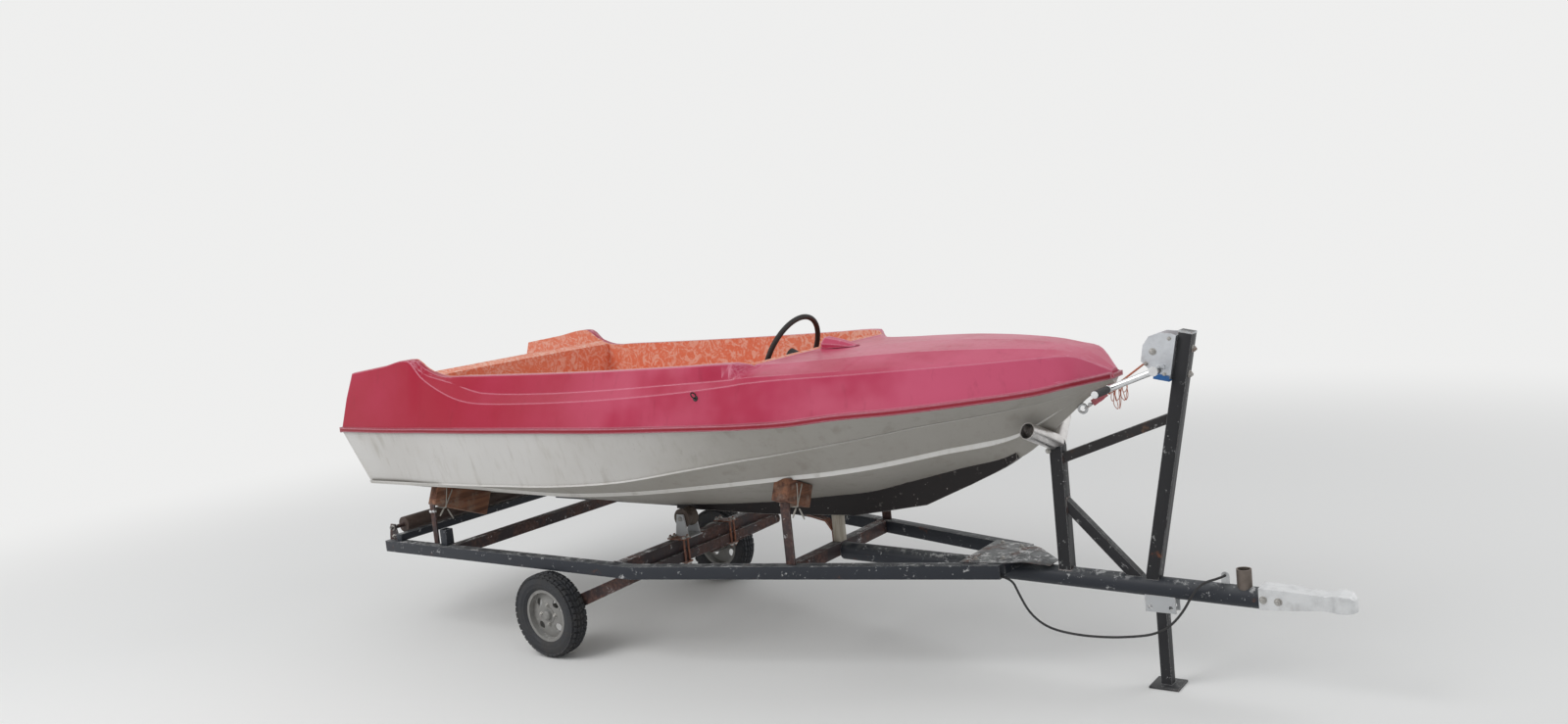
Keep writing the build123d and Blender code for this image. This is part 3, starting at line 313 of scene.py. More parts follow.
@dataclass(frozen=True)
class RedGelcoat(Finish):
    """Faded crimson moulding with dust, fine scratches and chipped edges, a painted sheen on its upper faces
    and a painted highlight along its edges.
    """

    deep: Rgb = (0.370, 0.006, 0.030)
    faded: Rgb = (0.560, 0.050, 0.135)
    # painted sheen: a pale lilac that stands for the sky's reflection on the red
    sheen: Rgb = (0.78, 0.22, 0.33)
    streak: Rgb = (0.15, 0.006, 0.014)
    dusty: Rgb = (0.42, 0.26, 0.25)
    # painted highlight: a light pink for the edges that catch the light, partly also worn paint
    rubbed_and_highlight: Rgb = (0.80, 0.36, 0.46)
    bare: Rgb = (0.70, 0.67, 0.64)
    chipping: float = 0.35
    inner: Rgb | None = None

    def paint(self, graph: Graph) -> None:
        """Fills in the material's nodes.

        Args:
            graph: the material's graph.
        """
        # the red lightens towards the bow partly from real fading and partly as painted sheen, where the
        # sky's reflection falls
        forward = graph.axis("X").ramp(-0.9, 1.2)
        fade = graph.noise(1.6, 6.0).ramp(0.35, 0.72) * 0.30 + forward * 0.55
        dust = graph.noise(38.0, 8.0, 0.7).ramp(0.52, 0.8) * graph.facing().ramp(0.5, 0.95)
        streaks = graph.noise(26.0, 4.0, 0.6, stretch=(1.0, 1.0, 0.08)).ramp(0.56, 0.76)
        broken = graph.noise(55.0, 4.0, 0.7).ramp(0.66 - 0.14 * self.chipping, 0.70 - 0.14 * self.chipping)
        chips = broken * graph.edge(0.004)
        # painted sheen: pale patches on faces that tilt upwards, growing from the stern forwards; the bloom
        # mask is this sheen
        side = graph.axis("X").ramp(-1.3, 0.0) * graph.facing().ramp(0.02, 0.30)
        bloom = side * graph.noise(3.0, 3.0).ramp(0.30, 0.62)
        colour = graph.blend(fade, self.deep, self.faded)
        colour = graph.blend(bloom * 0.30, colour, self.sheen)
        colour = graph.blend(streaks * 0.16, colour, self.streak)
        colour = graph.blend(dust * 0.10, colour, self.dusty)
        # painted highlight: a light line along the knuckles and edges, partly also worn paint
        colour = graph.blend(graph.edge(0.009, 0.999, 0.988) * 0.55, colour, self.rubbed_and_highlight)
        if self.inner is not None:
            colour = graph.blend(graph.facing("X").ramp(-0.70, -0.85), colour, self.inner)
        colour = graph.blend(chips * 0.9, colour, self.bare)
        scratches = graph.noise(60.0, 3.0, 0.6, stretch=(0.05, 1.0, 1.0)).ramp(0.62, 0.75)
        graph.set(Base_Color=colour, Roughness=0.30 + fade * 0.12 + dust * 0.25 + scratches * 0.08,
                  Coat_Weight=0.10 - dust * 0.06, Specular_IOR_Level=0.22)
        graph.set(Coat_Roughness=0.16)
        height = graph.noise(7.0, 2.0) * 0.6 + graph.noise(160.0, 2.0) * 0.05
        graph.set(Normal=graph.relief(height, 0.12, 0.004, soft=0.007))


@dataclass(frozen=True)
class HullPaint(Finish):
    """Warm grey hull paint with rain streaks, grime towards the keel, scuffs, black marks, painted shade
    below and in crevices, and painted edge highlights.
    """

    pale: Rgb = (0.66, 0.65, 0.635)
    stained: Rgb = (0.45, 0.42, 0.375)
    run: Rgb = (0.23, 0.20, 0.15)
    # painted light: the next three colours are shade on downward faces, a highlight along the edges and shade
    # in the crevices
    shade: Rgb = (0.17, 0.15, 0.115)
    rubbed_and_highlight: Rgb = (0.76, 0.75, 0.72)
    corner: Rgb = (0.12, 0.105, 0.085)
    scuff: Rgb = (0.20, 0.18, 0.15)
    mark: Rgb = (0.10, 0.09, 0.08)
    speck: Rgb = (0.10, 0.08, 0.07)

    def paint(self, graph: Graph) -> None:
        """Fills in the material's nodes.

        Args:
            graph: the material's graph.
        """
        low = graph.axis("Z").ramp(0.86, 0.58)
        cloud = graph.noise(2.3, 6.0, 0.6).ramp(0.40, 0.75)
        streaks = graph.noise(30.0, 5.0, 0.6, stretch=(1.0, 1.0, 0.05)).ramp(0.50, 0.72)
        runs = graph.noise(11.0, 3.0, 0.55, stretch=(1.0, 1.0, 0.10)).ramp(0.58, 0.70)
        grime = (low * 0.40 + cloud * 0.30 + streaks * 0.30) * 0.8
        specks = graph.cells(60.0).ramp(0.10, 0.05) * graph.noise(5.0, 2.0).ramp(0.56, 0.64)
        scuffs = graph.noise(30.0, 4.0, 0.7, stretch=(0.10, 1.0, 1.0)).ramp(0.64, 0.70) * 0.6
        marks = graph.noise(16.0, 6.0, 0.75, stretch=(0.35, 1.0, 1.6)).ramp(0.70, 0.735)
        # painted shade: the faces that turn downwards are darkened below
        under = graph.facing().ramp(-0.10, -0.62)
        colour = graph.blend(grime, self.pale, self.stained)
        colour = graph.blend(runs * 0.25, colour, self.run)
        colour = graph.blend(under * 0.62, colour, self.shade)
        # painted highlight: light strips along the chine, the rails and the other edges
        colour = graph.blend(graph.edge(0.006, 0.998, 0.97) * 0.75, colour, self.rubbed_and_highlight)
        # painted shade in the crevices, such as the line under the chine lap, from ambient occlusion
        colour = graph.blend(graph.crevice_shade(0.022) * 0.75, colour, self.corner)
        colour = graph.blend(scuffs * low, colour, self.scuff)
        colour = graph.blend(marks * 0.7, colour, self.mark)
        colour = graph.blend(specks * 0.8, colour, self.speck)
        graph.set(Base_Color=colour, Roughness=0.46 + grime * 0.3, Specular_IOR_Level=0.35)
        height = graph.noise(9.0, 3.0) * 0.7 + graph.noise(220.0, 2.0) * 0.08
        graph.set(Normal=graph.relief(height, 0.15, 0.004, soft=0.004))


@dataclass(frozen=True)
class MarbledLiner(Finish):
    """Orange gelcoat with pale stippled swirls, faded where the sun reaches it."""

    orange: Rgb = (0.76, 0.20, 0.105)
    swirl: Rgb = (0.86, 0.54, 0.43)
    sunned: Rgb = (0.76, 0.29, 0.17)
    soiled: Rgb = (0.20, 0.13, 0.09)

    def paint(self, graph: Graph) -> None:
        """Fills in the material's nodes.

        Args:
            graph: the material's graph.
        """
        curls = graph.noise(13.0, 4.0, 0.65, twist=3.4).ramp(0.47, 0.57)
        dabs = graph.noise(38.0, 3.0, 0.6, twist=2.2).ramp(0.50, 0.62)
        marks = (curls * 0.7 + dabs * 0.5).ramp(0.10, 1.0)
        sun = graph.noise(2.0, 4.0).ramp(0.35, 0.8)
        colour = graph.blend(sun * 0.5, self.orange, self.sunned)
        colour = graph.blend(marks * 0.8, colour, self.swirl)
        dirt = graph.noise(6.0, 8.0, 0.7).ramp(0.55, 0.85) * graph.facing().ramp(0.4, 1.0)
        colour = graph.blend(dirt * 0.35, colour, self.soiled)
        graph.set(Base_Color=colour, Roughness=0.40 + dirt * 0.4, Specular_IOR_Level=0.35)
        graph.set(Normal=graph.relief(graph.noise(40.0, 4.0), 0.12, 0.003))


class Wear(Enum):
    """How far a painted part of the trailer has gone."""

    LIGHT = 0.25
    WORN = 0.55
    RUSTED = 0.95


@dataclass(frozen=True)
class TrailerPaint(Finish):
    """Brushed-on paint over steel: chips to primer, rust in patches, pale dust on top."""

    coat: Rgb = (0.030, 0.033, 0.040)
    chip: Rgb = (0.60, 0.60, 0.60)
    rust_dark: Rgb = (0.085, 0.030, 0.020)
    rust_light: Rgb = (0.23, 0.085, 0.042)
    dusty: Rgb = (0.27, 0.28, 0.28)
    bleach: float = 0.45
    edge_wear: float = 0.5
    wear: Wear = Wear.WORN
    gloss: float = 0.46

    def paint(self, graph: Graph) -> None:
        """Fills in the material's nodes.

        Args:
            graph: the material's graph.
        """
        amount = self.wear.value
        patch = graph.noise(7.0, 8.0, 0.68).ramp(0.70 - 0.28 * amount, 0.78 - 0.22 * amount)
        fine = graph.noise(45.0, 6.0, 0.7).ramp(0.44, 0.62)
        edge = graph.edge(0.004)
        patches = patch * (0.45 + fine * 0.55)
        rust = patches.larger(edge * graph.noise(12.0, 3.0).ramp(0.58 - 0.2 * amount, 0.66))
        spots = graph.cells(70.0).ramp(0.16, 0.10) * graph.noise(11.0, 3.0).ramp(0.58, 0.66)
        bared = 0.16 * self.edge_wear
        rubbed_and_highlight = edge * graph.noise(25.0, 4.0).ramp(0.56 - bared, 0.62 - bared)
        chips = spots.larger(rubbed_and_highlight * 0.9)
        upward = graph.facing().ramp(0.45, 0.95)
        flakes = graph.noise(34.0, 7.0, 0.75).ramp(0.535, 0.575) * upward
        flakes = flakes * graph.noise(4.0, 2.0).ramp(0.40, 0.54)
        peeled = graph.noise(20.0, 9.0, 0.78, shift=(3.0, 1.0, 2.0)).ramp(0.610, 0.632)
        top = upward * graph.noise(16.0, 6.0, 0.65).ramp(0.30, 0.68)
        tone = graph.noise(60.0, 4.0, 0.7)
        steel_rust = graph.blend(tone.ramp(0.35, 0.65), self.rust_dark, self.rust_light)
        paler = tuple(1.7 * c + 0.006 for c in self.coat)
        colour = graph.blend(graph.noise(3.0, 4.0) * 0.5, self.coat, paler)
        colour = graph.blend(top * self.bleach, colour, self.dusty)
        colour = graph.blend(rust, colour, steel_rust)
        white = (chips * 0.9).larger(flakes * self.bleach * 1.6).larger(peeled * self.bleach * 1.5)
        colour = graph.blend(white, colour, self.chip)
        graph.set(Base_Color=colour, Roughness=self.gloss + rust * 0.4 + top * 0.2, Specular_IOR_Level=0.32)
        height = rust * graph.noise(110.0, 4.0, 0.7) * 0.8 + chips * -0.3 + graph.noise(28.0, 3.0) * 0.25
        graph.set(Normal=graph.relief(height, 0.35, 0.0015))


@dataclass(frozen=True)
class BareMetal(Finish):
    """Zinc, chrome or polished steel with blooms, pits and rust stain."""

    tone: Rgb = (0.55, 0.56, 0.57)
    rust: Rgb = (0.24, 0.10, 0.05)
    rough: float = 0.34
    stain: float = 0.35

    def paint(self, graph: Graph) -> None:
        """Fills in the material's nodes.

        Args:
            graph: the material's graph.
        """
        bloom = graph.noise(18.0, 6.0, 0.65).ramp(0.35, 0.75)
        pits = graph.cells(140.0).ramp(0.14, 0.05) * graph.noise(14.0, 3.0).ramp(0.50, 0.62)
        stain = graph.noise(9.0, 7.0, 0.7).ramp(0.56, 0.74) * self.stain
        colour = graph.blend(bloom * 0.5, self.tone, tuple(0.62 * c for c in self.tone))
        colour = graph.blend((stain + pits * 0.5).larger(0.0), colour, self.rust)
        graph.set(Base_Color=colour, Metallic=1.0 - stain * 0.9,
                  Roughness=self.rough + bloom * 0.18 + stain * 0.3)
        graph.set(Normal=graph.relief(bloom * 0.4 - pits, 0.25, 0.0008))


@dataclass(frozen=True)
class Timber(Finish):
    """Sawn wood with grain along one axis, darker knots and weathering."""

    light: Rgb = (0.40, 0.145, 0.070)
    dark: Rgb = (0.13, 0.036, 0.020)
    grey: Rgb = (0.36, 0.32, 0.27)
    crack: Rgb = (0.05, 0.03, 0.02)
    along: int = 1
    weather: float = 0.3

    def paint(self, graph: Graph) -> None:
        """Fills in the material's nodes.

        Args:
            graph: the material's graph.
        """
        stretch = [1.0, 1.0, 1.0]
        stretch[self.along] = 0.07
        grain = graph.noise(46.0, 5.0, 0.6, twist=0.6, stretch=tuple(stretch))
        bands = graph.noise(14.0, 2.0, 0.5, twist=1.4, stretch=tuple(stretch)).ramp(0.35, 0.65)
        grey = graph.noise(12.0, 6.0, 0.7).ramp(0.45, 0.75) * self.weather
        colour = graph.blend(grain.ramp(0.40, 0.60) * 0.55 + bands * 0.45, self.light, self.dark)
        colour = graph.blend(grey, colour, self.grey)
        cracks = graph.noise(40.0, 3.0, 0.6, stretch=tuple(stretch)).ramp(0.66, 0.72)
        colour = graph.blend(cracks * 0.7, colour, self.crack)
        graph.set(Base_Color=colour, Roughness=0.72 + grain * 0.15)
        graph.set(Normal=graph.relief(grain - cracks * 0.8, 0.45, 0.0012))


@dataclass(frozen=True)
class Rubber(Finish):
    """Black or brown rubber, dusty in its hollows and scuffed on its high places."""

    tone: Rgb = (0.022, 0.022, 0.024)
    dusty: Rgb = (0.20, 0.17, 0.13)
    speckled: Rgb = (0.30, 0.27, 0.22)
    dust: float = 0.35

    def paint(self, graph: Graph) -> None:
        """Fills in the material's nodes.

        Args:
            graph: the material's graph.
        """
        cloud = graph.noise(9.0, 7.0, 0.7).ramp(0.40, 0.78)
        speck = graph.noise(120.0, 3.0, 0.6).ramp(0.55, 0.72)
        colour = graph.blend(cloud * self.dust, self.tone, self.dusty)
        colour = graph.blend(speck * self.dust * 0.5, colour, self.speckled)
        graph.set(Base_Color=colour, Roughness=0.62 + cloud * 0.25)
        graph.set(Normal=graph.relief(graph.noise(90.0, 4.0) + cloud * 0.3, 0.25, 0.0010))


@dataclass(frozen=True)
class Cordage(Finish):
    """Laid fibre of a rope or string, faded and fuzzy, with painted shade in the grooves between its strands.
    """

    tone: Rgb = (0.78, 0.24, 0.09)
    faded: Rgb = (0.62, 0.52, 0.44)
    turns: float = 220.0

    def paint(self, graph: Graph) -> None:
        """Fills in the material's nodes.

        Args:
            graph: the material's graph.
        """
        lay = graph.node("ShaderNodeTexWave", {"bands_direction": "DIAGONAL"},
                         {"Vector": graph.place(), "Scale": self.turns, "Distortion": 1.5, "Detail": 2.0})
        strands = graph.out(lay, "Fac")
        fade = graph.noise(30.0, 5.0, 0.7).ramp(0.35, 0.75)
        # painted shade: the grooves between the strands are darkened
        dark = tuple(0.45 * c for c in self.tone)
        colour = graph.blend(strands.ramp(0.15, 0.75), dark, self.tone)
        colour = graph.blend(fade * 0.35, colour, self.faded)
        graph.set(Base_Color=colour, Roughness=0.85)
        graph.set(Normal=graph.relief(strands, 0.5, 0.0012))


RED = RedGelcoat("red_gelcoat")
RUB_RED = RedGelcoat("rub_rail_red", deep=(0.25, 0.008, 0.018), faded=(0.32, 0.02, 0.04), chipping=1.0)
COWL_RED = RedGelcoat("cowl_red", inner=(0.62, 0.20, 0.11))
HULL_GREY = HullPaint("hull_grey")
# painted highlight: a paler copy of the hull paint for the spray rails, whose tops catch the light
RAIL_PAINTED_HIGHLIGHT = HullPaint("rail_painted_highlight", pale=(0.82, 0.81, 0.79), stained=(0.64, 0.61, 0.56))
LINER = MarbledLiner("orange_marbled_liner")
KEEL_BROWN = TrailerPaint("keel_brown", coat=(0.006, 0.0035, 0.0038), chip=(0.66, 0.63, 0.58),
                          rust_dark=(0.030, 0.016, 0.014), rust_light=(0.075, 0.045, 0.038),
                          wear=Wear.LIGHT, bleach=0.12, edge_wear=1.6)
FRAME_BLACK = TrailerPaint("frame_black", coat=(0.020, 0.023, 0.030), wear=Wear.LIGHT, edge_wear=0.8)
GUSSET_BLACK = TrailerPaint("gusset_black", coat=(0.060, 0.062, 0.066), wear=Wear.WORN, bleach=0.9,
                            edge_wear=0.9)
POST_BLACK = TrailerPaint("post_black", coat=(0.013, 0.013, 0.015), wear=Wear.LIGHT, bleach=0.28,
                          edge_wear=1.3)
FRAME_RUSTY = TrailerPaint("frame_rusty", coat=(0.030, 0.022, 0.024), rust_dark=(0.070, 0.036, 0.031),
                           rust_light=(0.155, 0.088, 0.072), wear=Wear.RUSTED, bleach=0.5, edge_wear=0.7)
BRACE_RUST = TrailerPaint("brace_rust", coat=(0.018, 0.016, 0.017), rust_dark=(0.075, 0.036, 0.022),
                          rust_light=(0.22, 0.12, 0.07), wear=Wear.WORN, bleach=0.35, edge_wear=1.0)
CLAMP_RUST = TrailerPaint("clamp_rust", coat=(0.14, 0.06, 0.04), rust_dark=(0.17, 0.060, 0.032),
                          rust_light=(0.40, 0.18, 0.11), wear=Wear.RUSTED, bleach=0.2)
PALE_PAINT = TrailerPaint("pale_paint", coat=(0.40, 0.41, 0.42), chip=(0.66, 0.66, 0.63), wear=Wear.WORN,
                          bleach=0.2)
RIM_PAINT = TrailerPaint("rim_paint", coat=(0.22, 0.215, 0.205), chip=(0.46, 0.45, 0.43), wear=Wear.WORN,
                         rust_dark=(0.05, 0.035, 0.028), rust_light=(0.12, 0.09, 0.07), bleach=0.5)
WINCH_BLUE = TrailerPaint("winch_blue", coat=(0.02, 0.10, 0.28), chip=(0.45, 0.47, 0.50), wear=Wear.LIGHT)
HELM_BLACK = Rubber("helm_black", tone=(0.014, 0.013, 0.013), dust=0.08)
ZINC = BareMetal("zinc")
REST_STEEL = BareMetal("rest_steel", tone=(0.74, 0.72, 0.71), rough=0.26, stain=0.4)
CHEEK_METAL = BareMetal("cheek_metal", tone=(0.60, 0.62, 0.65), rough=0.40, stain=0.2)
BOLT_METAL = BareMetal("bolt_metal", tone=(0.46, 0.45, 0.43), rough=0.42, stain=0.7)
SOCKET_METAL = BareMetal("socket_metal", tone=(0.20, 0.17, 0.15), rough=0.55, stain=0.8)
COUPLING_METAL = BareMetal("coupling_metal", tone=(0.72, 0.73, 0.74), rough=0.46, stain=0.12)
CHROME = BareMetal("crank_chrome", tone=(0.80, 0.81, 0.82), rough=0.16, stain=0.1)
BLOCK_WOOD = Timber("block_wood", light=(0.27, 0.120, 0.066), dark=(0.070, 0.026, 0.016), weather=0.6)
PLANK_WOOD = Timber("plank_wood", light=(0.52, 0.48, 0.41), dark=(0.33, 0.29, 0.23), along=2, weather=0.5)
ROLLER_BROWN = Rubber("roller_brown", tone=(0.075, 0.048, 0.040), dust=0.4)
ROLLER_GREY = Rubber("roller_grey", tone=(0.075, 0.055, 0.045), dust=0.4)
TYRE_RUBBER = Rubber("tyre_rubber", tone=(0.019, 0.021, 0.026), dust=0.16)
GRIP_RUBBER = Rubber("grip_rubber", dust=0.1)
CABLE_RUBBER = Rubber("cable_rubber", dust=0.1)
ROPE_ORANGE = Cordage("rope_orange", tone=(0.74, 0.20, 0.10))
STRING_WHITE = Cordage("string_white", tone=(0.66, 0.64, 0.58), turns=420.0)
STRAP_PINK = Cordage("strap_pink", tone=(0.66, 0.16, 0.20), turns=160.0)


# Modelling bench


def matrix_at(place: Sequence[float], along: Sequence[float] = (0.0, 0.0, 1.0)) -> Matrix:
    """Gives the placing of a form built along Z so that it points along a direction."""
    return Matrix.Translation(Vector(place)) @ Vector(along).to_track_quat("Z", "Y").to_matrix().to_4x4()


def ease_edges(mesh: bmesh.types.BMesh, width: float) -> None:
    """Bevels the edges that turn by more than 30 degrees.

    Args:
        mesh: the mesh.
        width: the bevels' width.
    """
    limit = math.radians(30.0)
    sharp = [edge for edge in mesh.edges if edge.is_manifold and edge.calc_face_angle(0.0) > limit]
    bmesh.ops.bevel(mesh, geom=sharp, offset=width, offset_type="OFFSET", segments=2, profile=0.5,
                    affect="EDGES", material=-1, clamp_overlap=True)


def finished_piece(name: str, mesh: bmesh.types.BMesh, finish: Finish, body: str,
                   stands_for: Iterable[str] = (), crease: float = 32.0) -> bpy.types.Object:
    """Turns a bmesh into a finished piece.

    Args:
        name: the piece's name.
        mesh: its form in the frame's metres; it is freed.
        finish: its finish.
        body: the body that it rides on.
        stands_for: the CAD nodes that it replaces.
        crease: the angle in degrees past which an edge stays sharp.

    Returns:
        The new object.
    """
    for face in mesh.faces:
        face.smooth = True
    for edge in mesh.edges:
        edge.smooth = not edge.is_manifold or edge.calc_face_angle(0.0) < math.radians(crease)
    data = bpy.data.meshes.new(name)
    mesh.to_mesh(data)
    mesh.free()
    data.materials.append(finish.material())
    piece = bpy.data.objects.new(name, data)
    bpy.context.scene.collection.objects.link(piece)
    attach(piece, body)
    if stands_for:
        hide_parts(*stands_for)
    LOG.info("made %s", name)
    return piece


def add_drum(mesh: bmesh.types.BMesh, place: Sequence[float], along: Sequence[float], radius: float,
             height: float, segments: int = 20, top: float | None = None) -> None:
    """Adds a capped round or polygonal form standing on a place.

    Args:
        mesh: the mesh that it joins.
        place: the middle of its foot.
        along: its direction.
        radius: its foot's radius.
        height: how far it reaches.
        segments: its sides.
        top: its top radius where it tapers.
    """
    lift = Matrix.Translation((0.0, 0.0, height / 2))
    bmesh.ops.create_cone(mesh, cap_ends=True, segments=segments, radius1=radius,
                          radius2=radius if top is None else top, depth=height,
                          matrix=matrix_at(place, along) @ lift)


def add_bolt(mesh: bmesh.types.BMesh, place: Sequence[float], along: Sequence[float], radius: float) -> None:
    """Adds a washer, a chamfered hexagon nut and its stud's end, standing on a place.

    Args:
        mesh: the mesh that they join.
        place: the middle of the washer's foot.
        along: the stud's direction.
        radius: the nut's radius, from which the rest is in proportion.
    """
    way = Vector(along).normalized()
    start = Vector(place)
    add_drum(mesh, start, way, radius * 1.35, radius * 0.22, 24)
    add_drum(mesh, start + way * radius * 0.22, way, radius, radius * 0.75, 6)
    add_drum(mesh, start + way * radius * 0.97, way, radius, radius * 0.15, 6, radius * 0.84)
    add_drum(mesh, start + way * radius * 1.12, way, radius * 0.52, radius * 0.40, 16, radius * 0.44)


def add_block(mesh: bmesh.types.BMesh, matrix: Matrix, size: Sequence[float], ease: float) -> None:
    """Adds a block with eased edges, centred on a placing.

    Args:
        mesh: the mesh that it joins.
        matrix: the placing of its middle.
        size: its three sides.
        ease: the width of its bevels.
    """
    block = bmesh.new()
    bmesh.ops.create_cube(block, size=1.0)
    bmesh.ops.scale(block, vec=Vector(size), verts=block.verts)
    ease_edges(block, ease)
    bmesh.ops.transform(block, matrix=matrix, verts=block.verts)
    data = bpy.data.meshes.new("block")
    block.to_mesh(data)
    block.free()
    mesh.from_mesh(data)
    bpy.data.meshes.remove(data)


def add_bend(mesh: bmesh.types.BMesh, place: Sequence[float], axis: Sequence[float], radius: float,
             wire: float, start: Sequence[float], angle: float, steps: int) -> None:
    """Adds a round wire bent part of the way round an axis.

    Args:
        mesh: the mesh that it joins.
        place: the bend's middle.
        axis: the bend's axis.
        radius: from the axis to the wire's middle.
        wire: the wire's radius.
        start: the direction in which the bend starts.
        angle: how far it goes round.
        steps: its sections.
    """
    turn_axis = Vector(axis).normalized()
    out = Vector(start)
    out = (out - turn_axis * out.dot(turn_axis)).normalized()
    placing = matrix_at(Vector(place) + out * radius, turn_axis.cross(out))
    verts = bmesh.ops.create_circle(mesh, cap_ends=True, segments=10, radius=wire, matrix=placing)["verts"]
    edges = [edge for edge in mesh.edges if edge.verts[0] in verts and edge.verts[1] in verts]
    bmesh.ops.spin(mesh, geom=verts + edges, cent=Vector(place), axis=turn_axis, angle=angle, steps=steps,
                   use_merge=False)


def add_turned(mesh: bmesh.types.BMesh, points: Sequence[tuple[float, float]], place: Sequence[float],
               axis: Sequence[float], steps: int) -> None:
    """Adds a closed profile turned fully round an axis.

    Args:
        mesh: the mesh that it joins.
        points: the profile, as distances along the axis and radii.
        place: where the axis has its distance of 0.
        axis: the axis's direction.
        steps: the sections of the turn.
    """
    way = Vector(axis).normalized()
    out = way.orthogonal().normalized()
    verts = [mesh.verts.new(Vector(place) + way * along + out * radius) for along, radius in points]
    edges = [mesh.edges.new((a, b)) for a, b in zip(verts, verts[1:] + verts[:1])]
    bmesh.ops.spin(mesh, geom=verts + edges, cent=Vector(place), axis=way, angle=TURN, steps=steps,
                   use_merge=True)


def tidy_mesh(mesh: bmesh.types.BMesh) -> None:
    """Merges doubles and points every face outwards."""
    bmesh.ops.remove_doubles(mesh, verts=mesh.verts, dist=1e-6)
    bmesh.ops.recalc_face_normals(mesh, faces=mesh.faces)


def wire_curve(name: str, loops: Sequence[Wire], radius: float, finish: Finish, body: str,
               stands_for: Iterable[str] = ()) -> bpy.types.Object:
    """Makes smooth round wires or strings, tied or laid tight.

    Args:
        name: the piece's name.
        loops: each wire's points in the frame, and whether it closes on itself.
        radius: the wire's radius.
        finish: its finish.
        body: the body that it rides on.
        stands_for: the CAD nodes that it replaces.

    Returns:
        The new object.
    """
    curve = bpy.data.curves.new(name, "CURVE")
    curve.dimensions = "3D"
    curve.bevel_depth = radius
    curve.bevel_resolution = 3
    curve.resolution_u = 6
    curve.use_fill_caps = True
    for points, closed in loops:
        spline = curve.splines.new("NURBS")
        spline.points.add(len(points) - 1)
        for point, place in zip(spline.points, points):
            point.co = (*place, 1.0)
        spline.order_u = 3
        spline.use_cyclic_u = closed
        spline.use_endpoint_u = not closed
    piece = bpy.data.objects.new(name, curve)
    bpy.context.scene.collection.objects.link(piece)
    curve.materials.append(finish.material())
    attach(piece, body)
    if stands_for:
        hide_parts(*stands_for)
    LOG.info("made %s", name)
    return piece


# Carried forms


